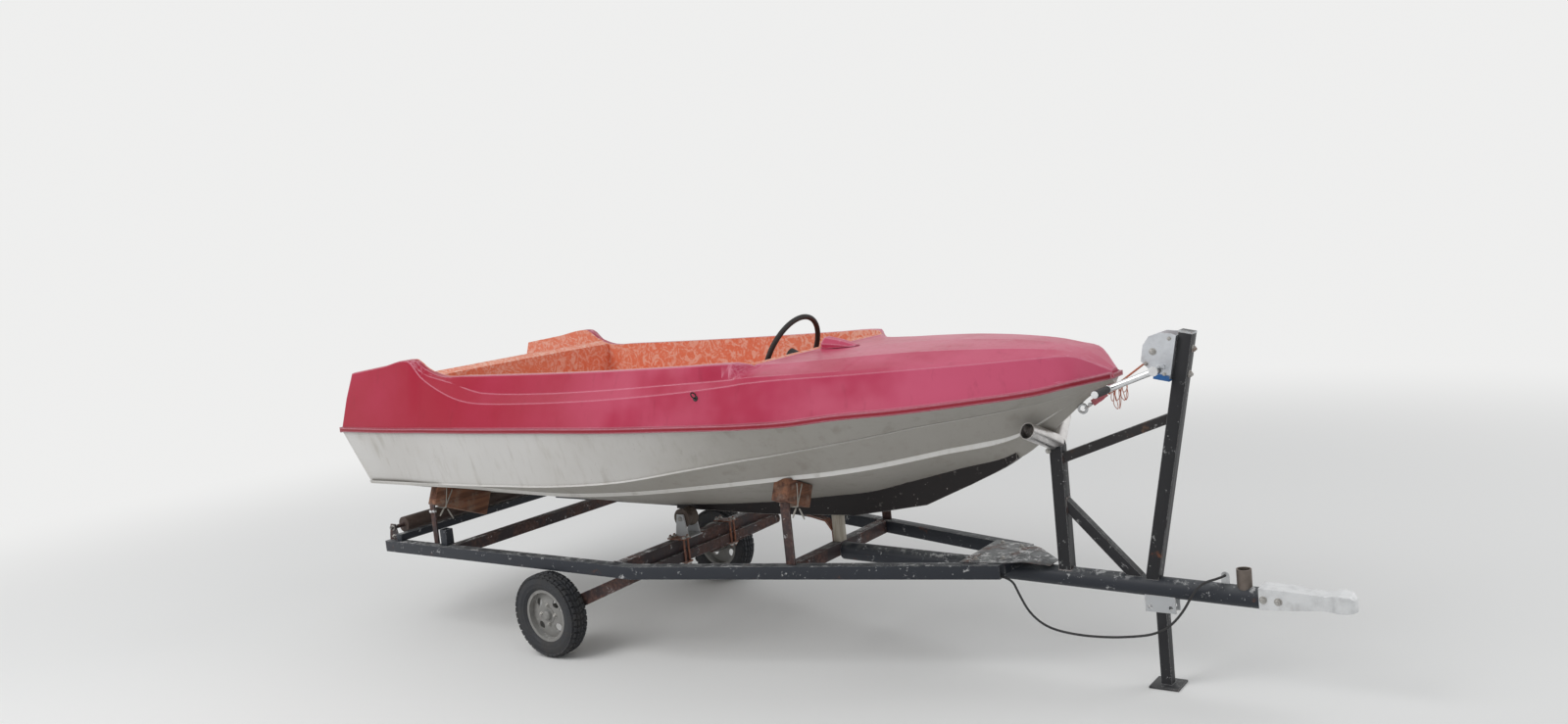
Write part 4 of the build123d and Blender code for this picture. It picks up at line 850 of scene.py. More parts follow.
@dataclass(frozen=True)
class FairLines:
    """Fair curves through the boat's stations, where the carried forms run straight between them.

    Each station gives, in millimetres, the distance ahead of the axle, the keel's z, then y and z of the
    spray rail, chine, rub rail, knuckle, fillet and coaming, and the crown's z.
    """

    joint: float = 0.026
    reach: float = 0.12
    step: float = 0.030
    widest: float = 0.7129
    stations: tuple[tuple[int, ...], ...] = (
        (-1400, 570, 585, 751, 598, 757, 658, 1028, 616, 1310, 606, 1313, 598, 1314, 1317),
        (-1000, 570, 597, 755, 610, 763, 680, 1031, 628, 1354, 616, 1357, 600, 1358, 1361),
        (-787, 570, 600, 757, 618, 767, 687, 1034, 633, 1378, 620, 1381, 600, 1382, 1385),
        (-700, 570, 600, 757, 620, 769, 689, 1036, 640, 1305, 622, 1318, 600, 1333, 1336),
        (-584, 570, 597, 757, 625, 772, 692, 1037, 652, 1249, 622, 1287, 600, 1297, 1300),
        (-430, 569, 588, 754, 629, 775, 696, 1039, 661, 1197, 624, 1250, 600, 1296, 1299),
        (-270, 568, 570, 744, 630, 779, 699, 1041, 665, 1176, 626, 1218, 600, 1296, 1299),
        (130, 564, 534, 730, 630, 792, 701, 1047, 667, 1177, 628, 1213, 600, 1298, 1301),
        (530, 582, 489, 745, 613, 823, 694, 1051, 662, 1190, 630, 1226, 600, 1303, 1306),
        (900, 611, 428, 775, 585, 881, 668, 1057, 640, 1211, 612, 1243, 590, 1311, 1314),
        (1170, 644, 374, 800, 540, 922, 640, 1061, 606, 1233, 586, 1255, 568, 1316, 1319),
        (1240, 653, 355, 806, 525, 931, 632, 1063, 592, 1241, 572, 1262, 450, 1296, 1299),
        (1420, 678, 308, 820, 481, 957, 596, 1069, 557, 1250, 530, 1264, 380, 1296, 1303),
        (1620, 729, 243, 845, 419, 988, 553, 1088, 505, 1253, 475, 1266, 330, 1303, 1313),
        (1850, 787, 160, 885, 331, 1026, 486, 1099, 430, 1257, 400, 1268, 275, 1307, 1318),
        (2110, 851, 65, 932, 200, 1057, 377, 1116, 322, 1260, 296, 1269, 200, 1300, 1311),
        (2300, 1000, 45, 1040, 112, 1090, 272, 1130, 222, 1262, 200, 1268, 130, 1284, 1289),
        (2410, 1092, 22, 1108, 52, 1120, 185, 1147, 130, 1252, 112, 1254, 70, 1256, 1259),
        (2505, 1135, 10, 1140, 18, 1147, 32, 1155, 28, 1184, 24, 1188, 14, 1191, 1194),
    )

    def outline(self, row: Sequence[float]) -> list[Vector]:
        """Gives one station's half outline from the keel up to the crown.

        Args:
            row: the station.

        Returns:
            The corners, as (y, z) in metres.
        """
        _, keel, spray_y, spray_z, chine_y, chine_z, rub_y, rub_z, *deck, crown = row
        bottom = [0, keel, spray_y, spray_z, chine_y, chine_z, rub_y, rub_z]
        flat = [*bottom, rub_y, rub_z + self.joint * 1000, *deck, 0, crown]
        return [Vector((y, z)) / 1000 for y, z in zip(flat[::2], flat[1::2])]

    def lines(self, x: float) -> tuple[list[Vector], list[Vector]]:
        """Works out the half outline at a place between the stations.

        Args:
            x: the place in the frame.

        Returns:
            The straight and the fair outline.
        """
        places = [ahead(row[0] / 1000) for row in self.stations]
        outlines = [self.outline(row) for row in self.stations]
        index = max(0, min(len(places) - 2, sum(place <= x for place in places) - 1))
        span = places[index + 1] - places[index]
        share = max(0.0, min(1.0, (x - places[index]) / span))
        straight = [a.lerp(b, share) for a, b in zip(outlines[index], outlines[index + 1])]
        slopes = []
        for k in (index, index + 1):
            low, high = max(0, k - 1), min(len(places) - 1, k + 1)
            wide = places[high] - places[low]
            slopes.append([(b - a) / wide for a, b in zip(outlines[low], outlines[high])])
        rise, fall = share * share * (3 - 2 * share), share * (1 - share)
        fair = []
        for a, b, slope_a, slope_b in zip(outlines[index], outlines[index + 1], *slopes):
            fair.append(a.lerp(b, rise) + (slope_a * (1 - share) - slope_b * share) * fall * span)
        return straight, fair

    def shift(self, place: Vector, lines: tuple[list[Vector], list[Vector]]) -> Vector:
        """Says how far a vertex moves with the outline's nearest stretch.

        Args:
            place: the vertex's place.
            lines: the straight and the fair outline at its x.

        Returns:
            The move in y, outwards, and in z.
        """
        point = Vector((abs(place.y), place.z))
        straight, fair = lines
        best, move = 1e9, Vector((0.0, 0.0))
        for k in range(len(straight) - 1):
            run = straight[k + 1] - straight[k]
            share = max(0.0, min(1.0, (point - straight[k]).dot(run) / max(run.length_squared, 1e-12)))
            distance = (point - straight[k] - run * share).length
            if distance < best:
                best = distance
                move = (fair[k] - straight[k]).lerp(fair[k + 1] - straight[k + 1], share)
        return move / (1.0 + (best / self.reach) ** 2)

    def apply(self, mesh: bmesh.types.BMesh) -> None:
        """Cuts a form into short bays along the boat and draws each cut onto the fair lines.

        Args:
            mesh: the form.
        """
        low = min(vert.co.x for vert in mesh.verts)
        high = max(vert.co.x for vert in mesh.verts)
        for index in range(1, int((high - low) / self.step) + 1):
            geometry = [*mesh.verts, *mesh.edges, *mesh.faces]
            cut = Vector((low + index * self.step, 0.0, 0.0))
            bmesh.ops.bisect_plane(mesh, geom=geometry, dist=1e-5, plane_co=cut,
                                   plane_no=Vector((1.0, 0.0, 0.0)))
        known: dict[int, tuple[list[Vector], list[Vector]]] = {}
        for vert in mesh.verts:
            key = round(vert.co.x * 1e4)
            if key not in known:
                known[key] = self.lines(vert.co.x)
            move = self.shift(vert.co, known[key])
            side = 1.0 if vert.co.y > 1e-6 else -1.0 if vert.co.y < -1e-6 else 0.0
            vert.co.y = max(-self.widest, min(self.widest, vert.co.y + side * move.x))
            vert.co.z += move.y


FAIR = FairLines()


class Ease(Enum):
    """How a carried form's edges are treated, as a bevel width in metres."""

    NONE = 0.0
    SECTION = 0.0025
    TIMBER = 0.003


@dataclass(frozen=True)
class Skin:
    """CAD nodes carried over as merged, smooth-shaded forms with eased edges."""

    finish: Finish
    nodes: tuple[str, ...]
    ease: Ease = Ease.NONE
    crease: float = 32.0
    fair: bool = False

    def build(self) -> None:
        """Makes one piece for each node."""
        for node in self.nodes:
            mesh = bmesh.new()
            mesh.from_mesh(frame["nodes"][node].data)
            bmesh.ops.remove_doubles(mesh, verts=mesh.verts, dist=1e-5)
            if self.ease is not Ease.NONE:
                bmesh.ops.dissolve_limit(mesh, angle_limit=math.radians(0.5), verts=mesh.verts,
                                         edges=mesh.edges)
                ease_edges(mesh, self.ease.value)
            if self.fair:
                FAIR.apply(mesh)
            finished_piece(f"{node}_finished", mesh, self.finish, BODIES[node], (node,),
                           self.crease)


SKINS = (
    Skin(RED, ("deck_moulding",), crease=9.0, fair=True),
    Skin(COWL_RED, ("helm_cowl",), crease=40.0),
    Skin(RUB_RED, ("rub_rail",), crease=30.0, fair=True),
    Skin(HULL_GREY, ("hull_shell",), crease=9.0, fair=True),
    Skin(LINER, ("cockpit_liner", "stern_well_liner", "backrest_bulkhead"), crease=20.0, fair=True),
    Skin(LINER, ("rear_bench", "front_bench", "dash_panel")),
    Skin(KEEL_BROWN, ("keel_bar",), crease=20.0, fair=True),
    Skin(HELM_BLACK, ("steering_column", "steering_wheel")),
    Skin(FRAME_BLACK, ("side_rail_near", "side_rail_far", "rear_cross_bar", "stake_sockets"), Ease.SECTION),
    Skin(GUSSET_BLACK, ("gusset_plate",), Ease.SECTION),
    Skin(POST_BLACK, ("front_post", "winch_post", "prop_leg", "lower_brace"), Ease.SECTION),
    Skin(BRACE_RUST, ("upper_brace",), Ease.SECTION),
    Skin(FRAME_BLACK, ("drawbar_tube", "front_saddle")),
    Skin(FRAME_RUSTY, ("crossmembers", "rear_posts", "middle_posts"), Ease.SECTION),
    Skin(FRAME_RUSTY, ("axle", "rear_roller_mount")),
    Skin(CLAMP_RUST, ("axle_clamps", "keel_strap")),
    Skin(PALE_PAINT, ("keel_roller_mount", "prop_plates")),
    Skin(REST_STEEL, ("bow_rest",)),
    Skin(ZINC, ("bow_eye", "winch_drum", "cable_eye")),
    Skin(CHEEK_METAL, ("winch_frame",)),
    Skin(SOCKET_METAL, ("jockey_socket",)),
    Skin(COUPLING_METAL, ("coupling",), crease=50.0),
    Skin(CHROME, ("winch_crank",)),
    Skin(BLOCK_WOOD, ("rear_blocks", "middle_blocks"), Ease.TIMBER),
    Skin(PLANK_WOOD, ("keel_chock",), Ease.TIMBER),
    Skin(ROLLER_BROWN, ("rear_roller",)),
    Skin(ROLLER_GREY, ("keel_roller",)),
    Skin(RIM_PAINT, ("wheel_rim_near", "wheel_rim_far")),
)


@dataclass(frozen=True)
class HullRail:
    """A rail that stands out along one corner of the bottom's outline, the same on both sides.

    The corner is counted up from the keel. The rise and the foot run along the panels above and below it, and
    the ends are distances ahead of the axle.
    """

    name: str
    finish: Finish
    corner: int
    rise: float
    reach: float
    aft: float
    fore: float
    foot: float = 0.006
    lip: float = 0.001
    top_sink: float = 0.0015
    foot_sink: float = 0.002
    bay: float = 0.015
    taper: float = 0.35
    thinnest: float = 0.12

    def section(self, x: float) -> list[Vector]:
        """Works out the rail's three corners on the near side.

        Args:
            x: the distance ahead of the axle.

        Returns:
            The corners from the top to the foot.
        """
        fair = FAIR.lines(ahead(x))[1]
        corner = fair[self.corner]
        share = max(self.thinnest, min(1.0, (self.fore - x) / self.taper))
        above = (fair[self.corner + 1] - corner).normalized()
        below = (fair[self.corner - 1] - corner).normalized()
        points = (corner + above * self.rise * share - Vector((self.top_sink, 0.0)),
                  corner + Vector((self.reach * share, self.lip)),
                  corner + below * self.foot * share - Vector((self.foot_sink, 0.0)))
        return [Vector((ahead(x), -point.x, point.y)) for point in points]

    def run(self, mesh: bmesh.types.BMesh) -> None:
        """Adds the rail's run along the near side.

        Args:
            mesh: the mesh that it joins.
        """
        count = int((self.fore - self.aft) / self.bay)
        before: list[bmesh.types.BMEdge] = []
        for index in range(count + 1):
            place = self.aft + (self.fore - self.aft) * index / count
            corners = [mesh.verts.new(point) for point in self.section(place)]
            ring = [mesh.edges.new((a, b)) for a, b in zip(corners, corners[1:] + corners[:1])]
            if before:
                bmesh.ops.bridge_loops(mesh, edges=before + ring)
            if index in (0, count):
                bmesh.ops.edgeloop_fill(mesh, edges=ring)
            before = ring

    def build(self) -> None:
        """Builds the rail of both sides as one piece."""
        mesh = bmesh.new()
        self.run(mesh)
        copy = bmesh.ops.duplicate(mesh, geom=[*mesh.verts, *mesh.edges, *mesh.faces])
        fresh = [item for item in copy["geom"] if isinstance(item, bmesh.types.BMVert)]
        bmesh.ops.scale(mesh, vec=Vector((1.0, -1.0, 1.0)), verts=fresh)
        bmesh.ops.recalc_face_normals(mesh, faces=mesh.faces)
        finished_piece(self.name, mesh, self.finish, ROOT, crease=20.0)


HULL_RAILS = (
    HullRail("chine_laps", HULL_GREY, corner=2, rise=0.010, reach=0.009, aft=-1.245, fore=2.42),
    # the spray rails take the paler paint, a painted highlight
    HullRail("spray_rails", RAIL_PAINTED_HIGHLIGHT, corner=1, rise=0.036, reach=0.022, aft=-1.250, fore=2.36),
)


# Wheels


@dataclass(frozen=True)
class RoadWheel:
    """A small trailer tyre with a block tread, and the nuts and valve on its rim."""

    side: str
    outboard: int
    middle: float = 0.622
    axle_z: float = 0.195
    pitches: int = 40
    stagger: float = 0.42
    centre_rib: float = 0.0025
    rib_from: float = 0.180
    blocks_from: float = 0.178
    least_block: float = 1.3e-4
    groove: float = 0.0038
    block_rise: float = 0.0080
    rim_face: float = 0.0152
    nuts: int = 4
    nut_pitch: float = 0.044
    nut: float = 0.0085
    valve_angle: float = 0.4
    valve_pitch: float = 0.094
    valve_rise: float = 0.006
    stem: tuple[float, float, float] = (0.0045, 0.014, 0.0036)
    valve_cap: tuple[float, float, float] = (0.0040, 0.009, 0.0034)
    wall: tuple[tuple[float, float], ...] = (
        (-0.030, 0.112), (-0.031, 0.120), (-0.037, 0.1235), (-0.041, 0.132), (-0.0440, 0.1345),
        (-0.0450, 0.150), (-0.0462, 0.152), (-0.0462, 0.158), (-0.0455, 0.166), (-0.0435, 0.1760),
    )
    tread: tuple[tuple[float, float], ...] = (
        (-0.0385, 0.1840), (-0.0205, 0.1862), (-0.0175, 0.1862), (-0.0020, 0.1868), (0.0020, 0.1868),
        (0.0175, 0.1862), (0.0205, 0.1862), (0.0385, 0.1840),
    )

    def hub(self) -> Vector:
        """Gives the wheel's middle."""
        return Vector((AXLE_X, self.outboard * self.middle, self.axle_z))

    def spoke(self, angle: float) -> Vector:
        """Gives a direction in the wheel's plane."""
        return Vector((math.cos(angle), 0.0, math.sin(angle)))

    def tyre(self) -> None:
        """Turns the carcass, staggers its middle rib and raises the tread's blocks from it."""
        mesh = bmesh.new()
        right = tuple((-along, radius) for along, radius in reversed(self.wall))
        add_turned(mesh, self.wall + self.tread + right, self.hub(), (0.0, 1.0, 0.0), self.pitches)
        tidy_mesh(mesh)
        twist = Matrix.Rotation(self.stagger * TURN / self.pitches, 3, "Y")
        for vert in mesh.verts:
            place = vert.co - self.hub()
            if abs(place.y) < self.centre_rib and math.hypot(place.x, place.z) > self.rib_from:
                vert.co = self.hub() + twist @ place
        blocks = []
        for face in mesh.faces:
            place = face.calc_center_median() - self.hub()
            if math.hypot(place.x, place.z) > self.blocks_from and face.calc_area() > self.least_block:
                blocks.append(face)
        bmesh.ops.inset_individual(mesh, faces=blocks, thickness=self.groove, depth=self.block_rise,
                                   use_even_offset=True)
        bmesh.ops.recalc_face_normals(mesh, faces=mesh.faces)
        finished_piece(f"tread_tyre_{self.side}", mesh, TYRE_RUBBER, f"{self.side}_wheel",
                       (f"tyre_{self.side}",), 28.0)

    def fittings(self) -> None:
        """Adds the wheel nuts and the valve, whose stem and cap are each a foot, a height and a top."""
        mesh = bmesh.new()
        way = Vector((0.0, float(self.outboard), 0.0))
        face = self.hub() + way * self.rim_face
        for index in range(self.nuts):
            spoke = self.spoke(index * TURN / self.nuts)
            add_bolt(mesh, face + spoke * self.nut_pitch, way, self.nut)
        valve = self.hub() + self.spoke(self.valve_angle) * self.valve_pitch + way * self.valve_rise
        for foot, height, top in (self.stem, self.valve_cap):
            add_drum(mesh, valve, way, foot, height, 14, top)
            valve = valve + way * height
        finished_piece(f"wheel_fittings_{self.side}", mesh, BOLT_METAL, f"{self.side}_wheel")

    def build(self) -> None:
        """Builds the tyre and its wheel's fittings."""
        self.tyre()
        self.fittings()


# Small work on the trailer


@dataclass(frozen=True)
class WeldSeams:
    """Rippled weld beads where the trailer's members meet."""

    radius: float = 0.0032
    pitch: float = 0.0028
    ripple: float = 0.14
    ripple_turn: float = 2.3
    top: float = 0.4545
    depth: float = 0.050
    half_width: float = 0.026
    bite: float = 0.001
    top_run: float = 0.048
    members: tuple[tuple[float, float], ...] = ((-0.715, 0.565), (0.415, 0.565), (1.205, 0.3583))
    seams: tuple[tuple[Point, Point], ...] = (
        ((2.232, -0.024, 0.4165), (2.232, 0.0, 0.4245)),
        ((2.232, 0.0, 0.4245), (2.232, 0.024, 0.4165)),
        ((2.282, -0.024, 0.4150), (2.282, 0.0, 0.4230)),
        ((2.282, 0.0, 0.4230), (2.282, 0.024, 0.4150)),
        ((2.234, -0.0255, 0.4150), (2.280, -0.0255, 0.4140)),
        ((2.234, 0.0255, 0.4150), (2.280, 0.0255, 0.4140)),
        ((2.283, -0.020, 0.832), (2.283, 0.020, 0.832)),
        ((2.283, -0.0205, 0.834), (2.283, -0.0205, 0.870)),
        ((2.283, -0.0185, 0.642), (2.283, -0.0185, 0.694)),
        ((2.283, -0.018, 0.6955), (2.283, 0.018, 0.6955)),
    )

    def bead(self, mesh: bmesh.types.BMesh, start: Vector, end: Vector) -> None:
        """Adds one bead as overlapping puddles.

        Args:
            mesh: the mesh that it joins.
            start: its first puddle's middle.
            end: its last puddle's middle.
        """
        count = max(2, int((end - start).length / self.pitch))
        for index in range(count + 1):
            place = start.lerp(end, index / count)
            swell = self.radius * (1.0 + self.ripple * math.sin(index * self.ripple_turn))
            bmesh.ops.create_icosphere(mesh, subdivisions=1, radius=swell, matrix=Matrix.Translation(place))

    def build(self) -> None:
        """Adds the seams at the crossmembers' ends, the front post and its braces."""
        mesh = bmesh.new()
        for x, inner in self.members:
            for side in (-1, 1):
                for offset in (-self.half_width, self.half_width):
                    low = Vector((ahead(x + offset), side * (inner - self.bite), self.top - self.depth))
                    self.bead(mesh, low, low + Vector((0.0, 0.0, self.depth)))
                start = Vector((ahead(x - self.top_run / 2), side * inner, self.top))
                self.bead(mesh, start, start + Vector((self.top_run, 0.0, 0.0)))
        for start, end in self.seams:
            self.bead(mesh, Vector((ahead(start[0]), *start[1:])), Vector((ahead(end[0]), *end[1:])))
        finished_piece("weld_seams", mesh, FRAME_RUSTY, ROOT, crease=60.0)


@dataclass(frozen=True)
class WinchPost:
    """The leaning winch post, by its foot, its run forward, its rise and half of its square section."""

    foot_x: float = 2.597
    foot_z: float = 0.415
    forward: float = 0.183
    rise: float = 0.905
    half: float = 0.025

    def lean(self) -> float:
        """Gives its lean from upright."""
        return math.atan2(self.forward, self.rise)

    def face(self, z: float, side: int) -> float:
        """Gives how far ahead of the axle its front face (side 1) or rear face (side -1) lies at a height."""
        middle = self.foot_x + (z - self.foot_z) * math.tan(self.lean())
        return middle + side * self.half / math.cos(self.lean())

    def ahead_way(self) -> Vector:
        """Gives the direction square to its front face."""
        return Vector((math.cos(self.lean()), 0.0, -math.sin(self.lean())))

    def up_way(self) -> Vector:
        """Gives the direction up along it."""
        return Vector((math.sin(self.lean()), 0.0, math.cos(self.lean())))


POST = WinchPost()


@dataclass(frozen=True)
class NutPair:
    """Two nuts at the same place left and right of a middle, facing outwards or up."""

    x: float
    reach: float
    z: float
    radius: float
    middle: float = 0.0
    faces_up: bool = False


@dataclass(frozen=True)
class Fastenings:
    """Nuts on the axle's clamps, the roller brackets, the coupling, the gusset and the posts."""

    clamp_x: tuple[float, float] = (0.384, 0.4635)
    clamp_y: float = 0.170
    clamp_leg: float = 0.014
    clamp_top: float = 0.460
    clamp_foot: float = 0.347
    clamp_nut: float = 0.0085
    post_levels: tuple[float, float] = (1.165, 1.255)
    post_nut: float = 0.010
    pairs: tuple[NutPair, ...] = (
        NutPair(-1.155, 0.586, 0.518, 0.011),  # the rear roller's spindle
        NutPair(-1.155, 0.586, 0.474, 0.007),  # its bracket
        NutPair(3.040, 0.043, 0.372, 0.010),  # the coupling, in front
        NutPair(2.990, 0.043, 0.374, 0.010),  # the coupling, behind
        NutPair(1.930, 0.120, 0.459, 0.008, faces_up=True),  # the gusset plate, behind
        NutPair(2.030, 0.085, 0.459, 0.008, faces_up=True),  # the gusset plate, in front
        NutPair(0.420, 0.044, 0.541, 0.009, middle=-0.100),  # the keel roller's spindle
        NutPair(2.228, 0.0255, 0.880, 0.008),  # the front post's rear edge, at the top
    )

    def table(self) -> list[tuple[Point, Sequence[float], float]]:
        """Lists the nuts.

        Returns:
            Each nut's place, with its x ahead of the axle, its direction and its radius.
        """
        rows: list[tuple[Point, Sequence[float], float]] = []
        for side in (-1, 1):
            for x in self.clamp_x:
                for leg in (-self.clamp_leg, self.clamp_leg):
                    y = side * self.clamp_y + leg
                    rows.append(((x, y, self.clamp_top), (0.0, 0.0, 1.0), self.clamp_nut))
                    rows.append(((x, y, self.clamp_foot), (0.0, 0.0, -1.0), self.clamp_nut))
            for pair in self.pairs:
                way = (0.0, 0.0, 1.0) if pair.faces_up else (0.0, side, 0.0)
                rows.append(((pair.x, pair.middle + side * pair.reach, pair.z), way, pair.radius))
        for z in self.post_levels:
            rows.append(((POST.face(z, 1), 0.0, z), POST.ahead_way(), self.post_nut))
        return rows

    def build(self) -> None:
        """Adds the nuts as one piece."""
        mesh = bmesh.new()
        for (x, y, z), way, radius in self.table():
            add_bolt(mesh, (ahead(x), y, z), way, radius)
        finished_piece("fastenings", mesh, BOLT_METAL, ROOT)


@dataclass(frozen=True)
class BlockLashings:
    """White string tied round the wooden blocks, and the clamp on a rear post.

    Each turn of string has its distance in from the block's outer end and its lean. Each point of a hanging
    tail has its drop and its share of the sway.
    """

    string: float = 0.0026
    slopes: tuple[tuple[str, float], ...] = (("rear_blocks", 23.0), ("middle_blocks", 18.0))
    half_height: float = 0.046
    level: float = 0.044
    turns: tuple[tuple[float, float], ...] = ((0.060, 0.35), (0.075, -0.35))
    lean_share: float = 0.6
    slant: float = 1.06
    knot_in: float = 0.067
    knot_down: float = 0.047
    tail_sway: float = 0.024
    tail_start: float = 0.3
    tail: tuple[tuple[float, float], ...] = ((0.0, 0.0), (0.030, 1.0), (0.055, 1.6), (0.028, 0.7))
    post: Point = (-0.830, -0.570, 0.618)
    band: Point = (0.037, 0.0134, 0.012)
    strip: float = 0.0014
    housing: Point = (0.016, 0.0080, 0.011)
    housing_at: Point = (-0.004, -0.0105, 0.0)
    screw: float = 0.0042
    edge: float = 0.0004

    def loop(self, centre: Vector, up: Vector, half: tuple[float, float]) -> list[Point]:
        """Works out a tight loop round a block's section, with its points close to the corners.

        Args:
            centre: the section's middle.
            up: the section's upward direction.
            half: half of the section's width and height.

        Returns:
            The loop's points.
        """
        spots = []
        corners = [(-1, -1), (1, -1), (1, 1), (-1, 1)]
        for (a, b), (c, d) in zip(corners, corners[1:] + corners[:1]):
            for share in (0.04, 0.5, 0.96):
                u, v = a + (c - a) * share, b + (d - b) * share
                spots.append(tuple(centre + Vector((1.0, 0.0, 0.0)) * (u * half[0]) + up * (v * half[1])))
        return spots

    def strings(self) -> None:
        """Ties every block with two crossing loops and two hanging tails."""
        loops: list[Wire] = []
        for side in (-1, 1):
            for name, slope in self.slopes:
                loops += self.tie(name, math.radians(slope), side)
        wire_curve("block_strings", loops, self.string, STRING_WHITE, ROOT)

    def tie(self, name: str, slope: float, side: int) -> list[Wire]:
        """Fits one block's string to the block's own box.

        Args:
            name: the blocks' CAD node.
            slope: how steeply the block lies.
            side: -1 for the near block and 1 for the far one.

        Returns:
            The loops and the tails.
        """
        verts = [v.co for v in frame["nodes"][name].data.vertices if v.co.y * side > 0]
        low, high = min(v.x for v in verts), max(v.x for v in verts)
        along = Vector((0.0, side * math.cos(slope), math.sin(slope)))
        over = Vector((0.0, -side * math.sin(slope), math.cos(slope)))
        end = max(v.dot(along) for v in verts)
        base = min(v.dot(over) for v in verts) + self.level
        loops: list[Wire] = []
        for inward, lean in self.turns:
            centre = along * (end - inward) + over * base
            centre.x = (low + high) / 2
            up = (over + along * lean * self.lean_share).normalized() * self.slant
            loops.append((self.loop(centre, up, ((high - low) / 2 + self.string, self.half_height)), True))
        knot = along * (end - self.knot_in) + over * base
        for sway in (-self.tail_sway, self.tail_sway):
            top = knot - over * self.knot_down + along * sway * self.tail_start
            points = [top - Vector((0.0, 0.0, drop)) + along * sway * share for drop, share in self.tail]
            loops.append(([(high + self.string, point.y, point.z) for point in points], True))
        return loops

    def clamp(self) -> None:
        """Adds the worm-drive clamp round the near rear post, as four strips, a housing and its screw."""
        mesh = bmesh.new()
        x, y, z = self.post
        length, width, height = self.band
        half_x, half_y = (length - self.strip) / 2, (width - self.strip) / 2
        blocks = [((0.0, side * half_y, 0.0), (length, self.strip, height)) for side in (-1, 1)]
        blocks += [((side * half_x, 0.0, 0.0), (self.strip, width, height)) for side in (1, -1)]
        blocks.append((self.housing_at, self.housing))
        placing = Matrix.Translation((ahead(x), y, z))
        for offset, size in blocks:
            add_block(mesh, placing @ Matrix.Translation(offset), size, self.edge)
        screw_x = ahead(x) + self.housing_at[0] + self.housing[0] / 2
        add_bolt(mesh, (screw_x, y + self.housing_at[1], z), (1.0, 0.0, 0.0), self.screw)
        finished_piece("post_clamp", mesh, CHROME, ROOT)

    def build(self) -> None:
        """Builds the strings and the clamp."""
        self.strings()
        self.clamp()


# Winch and bow


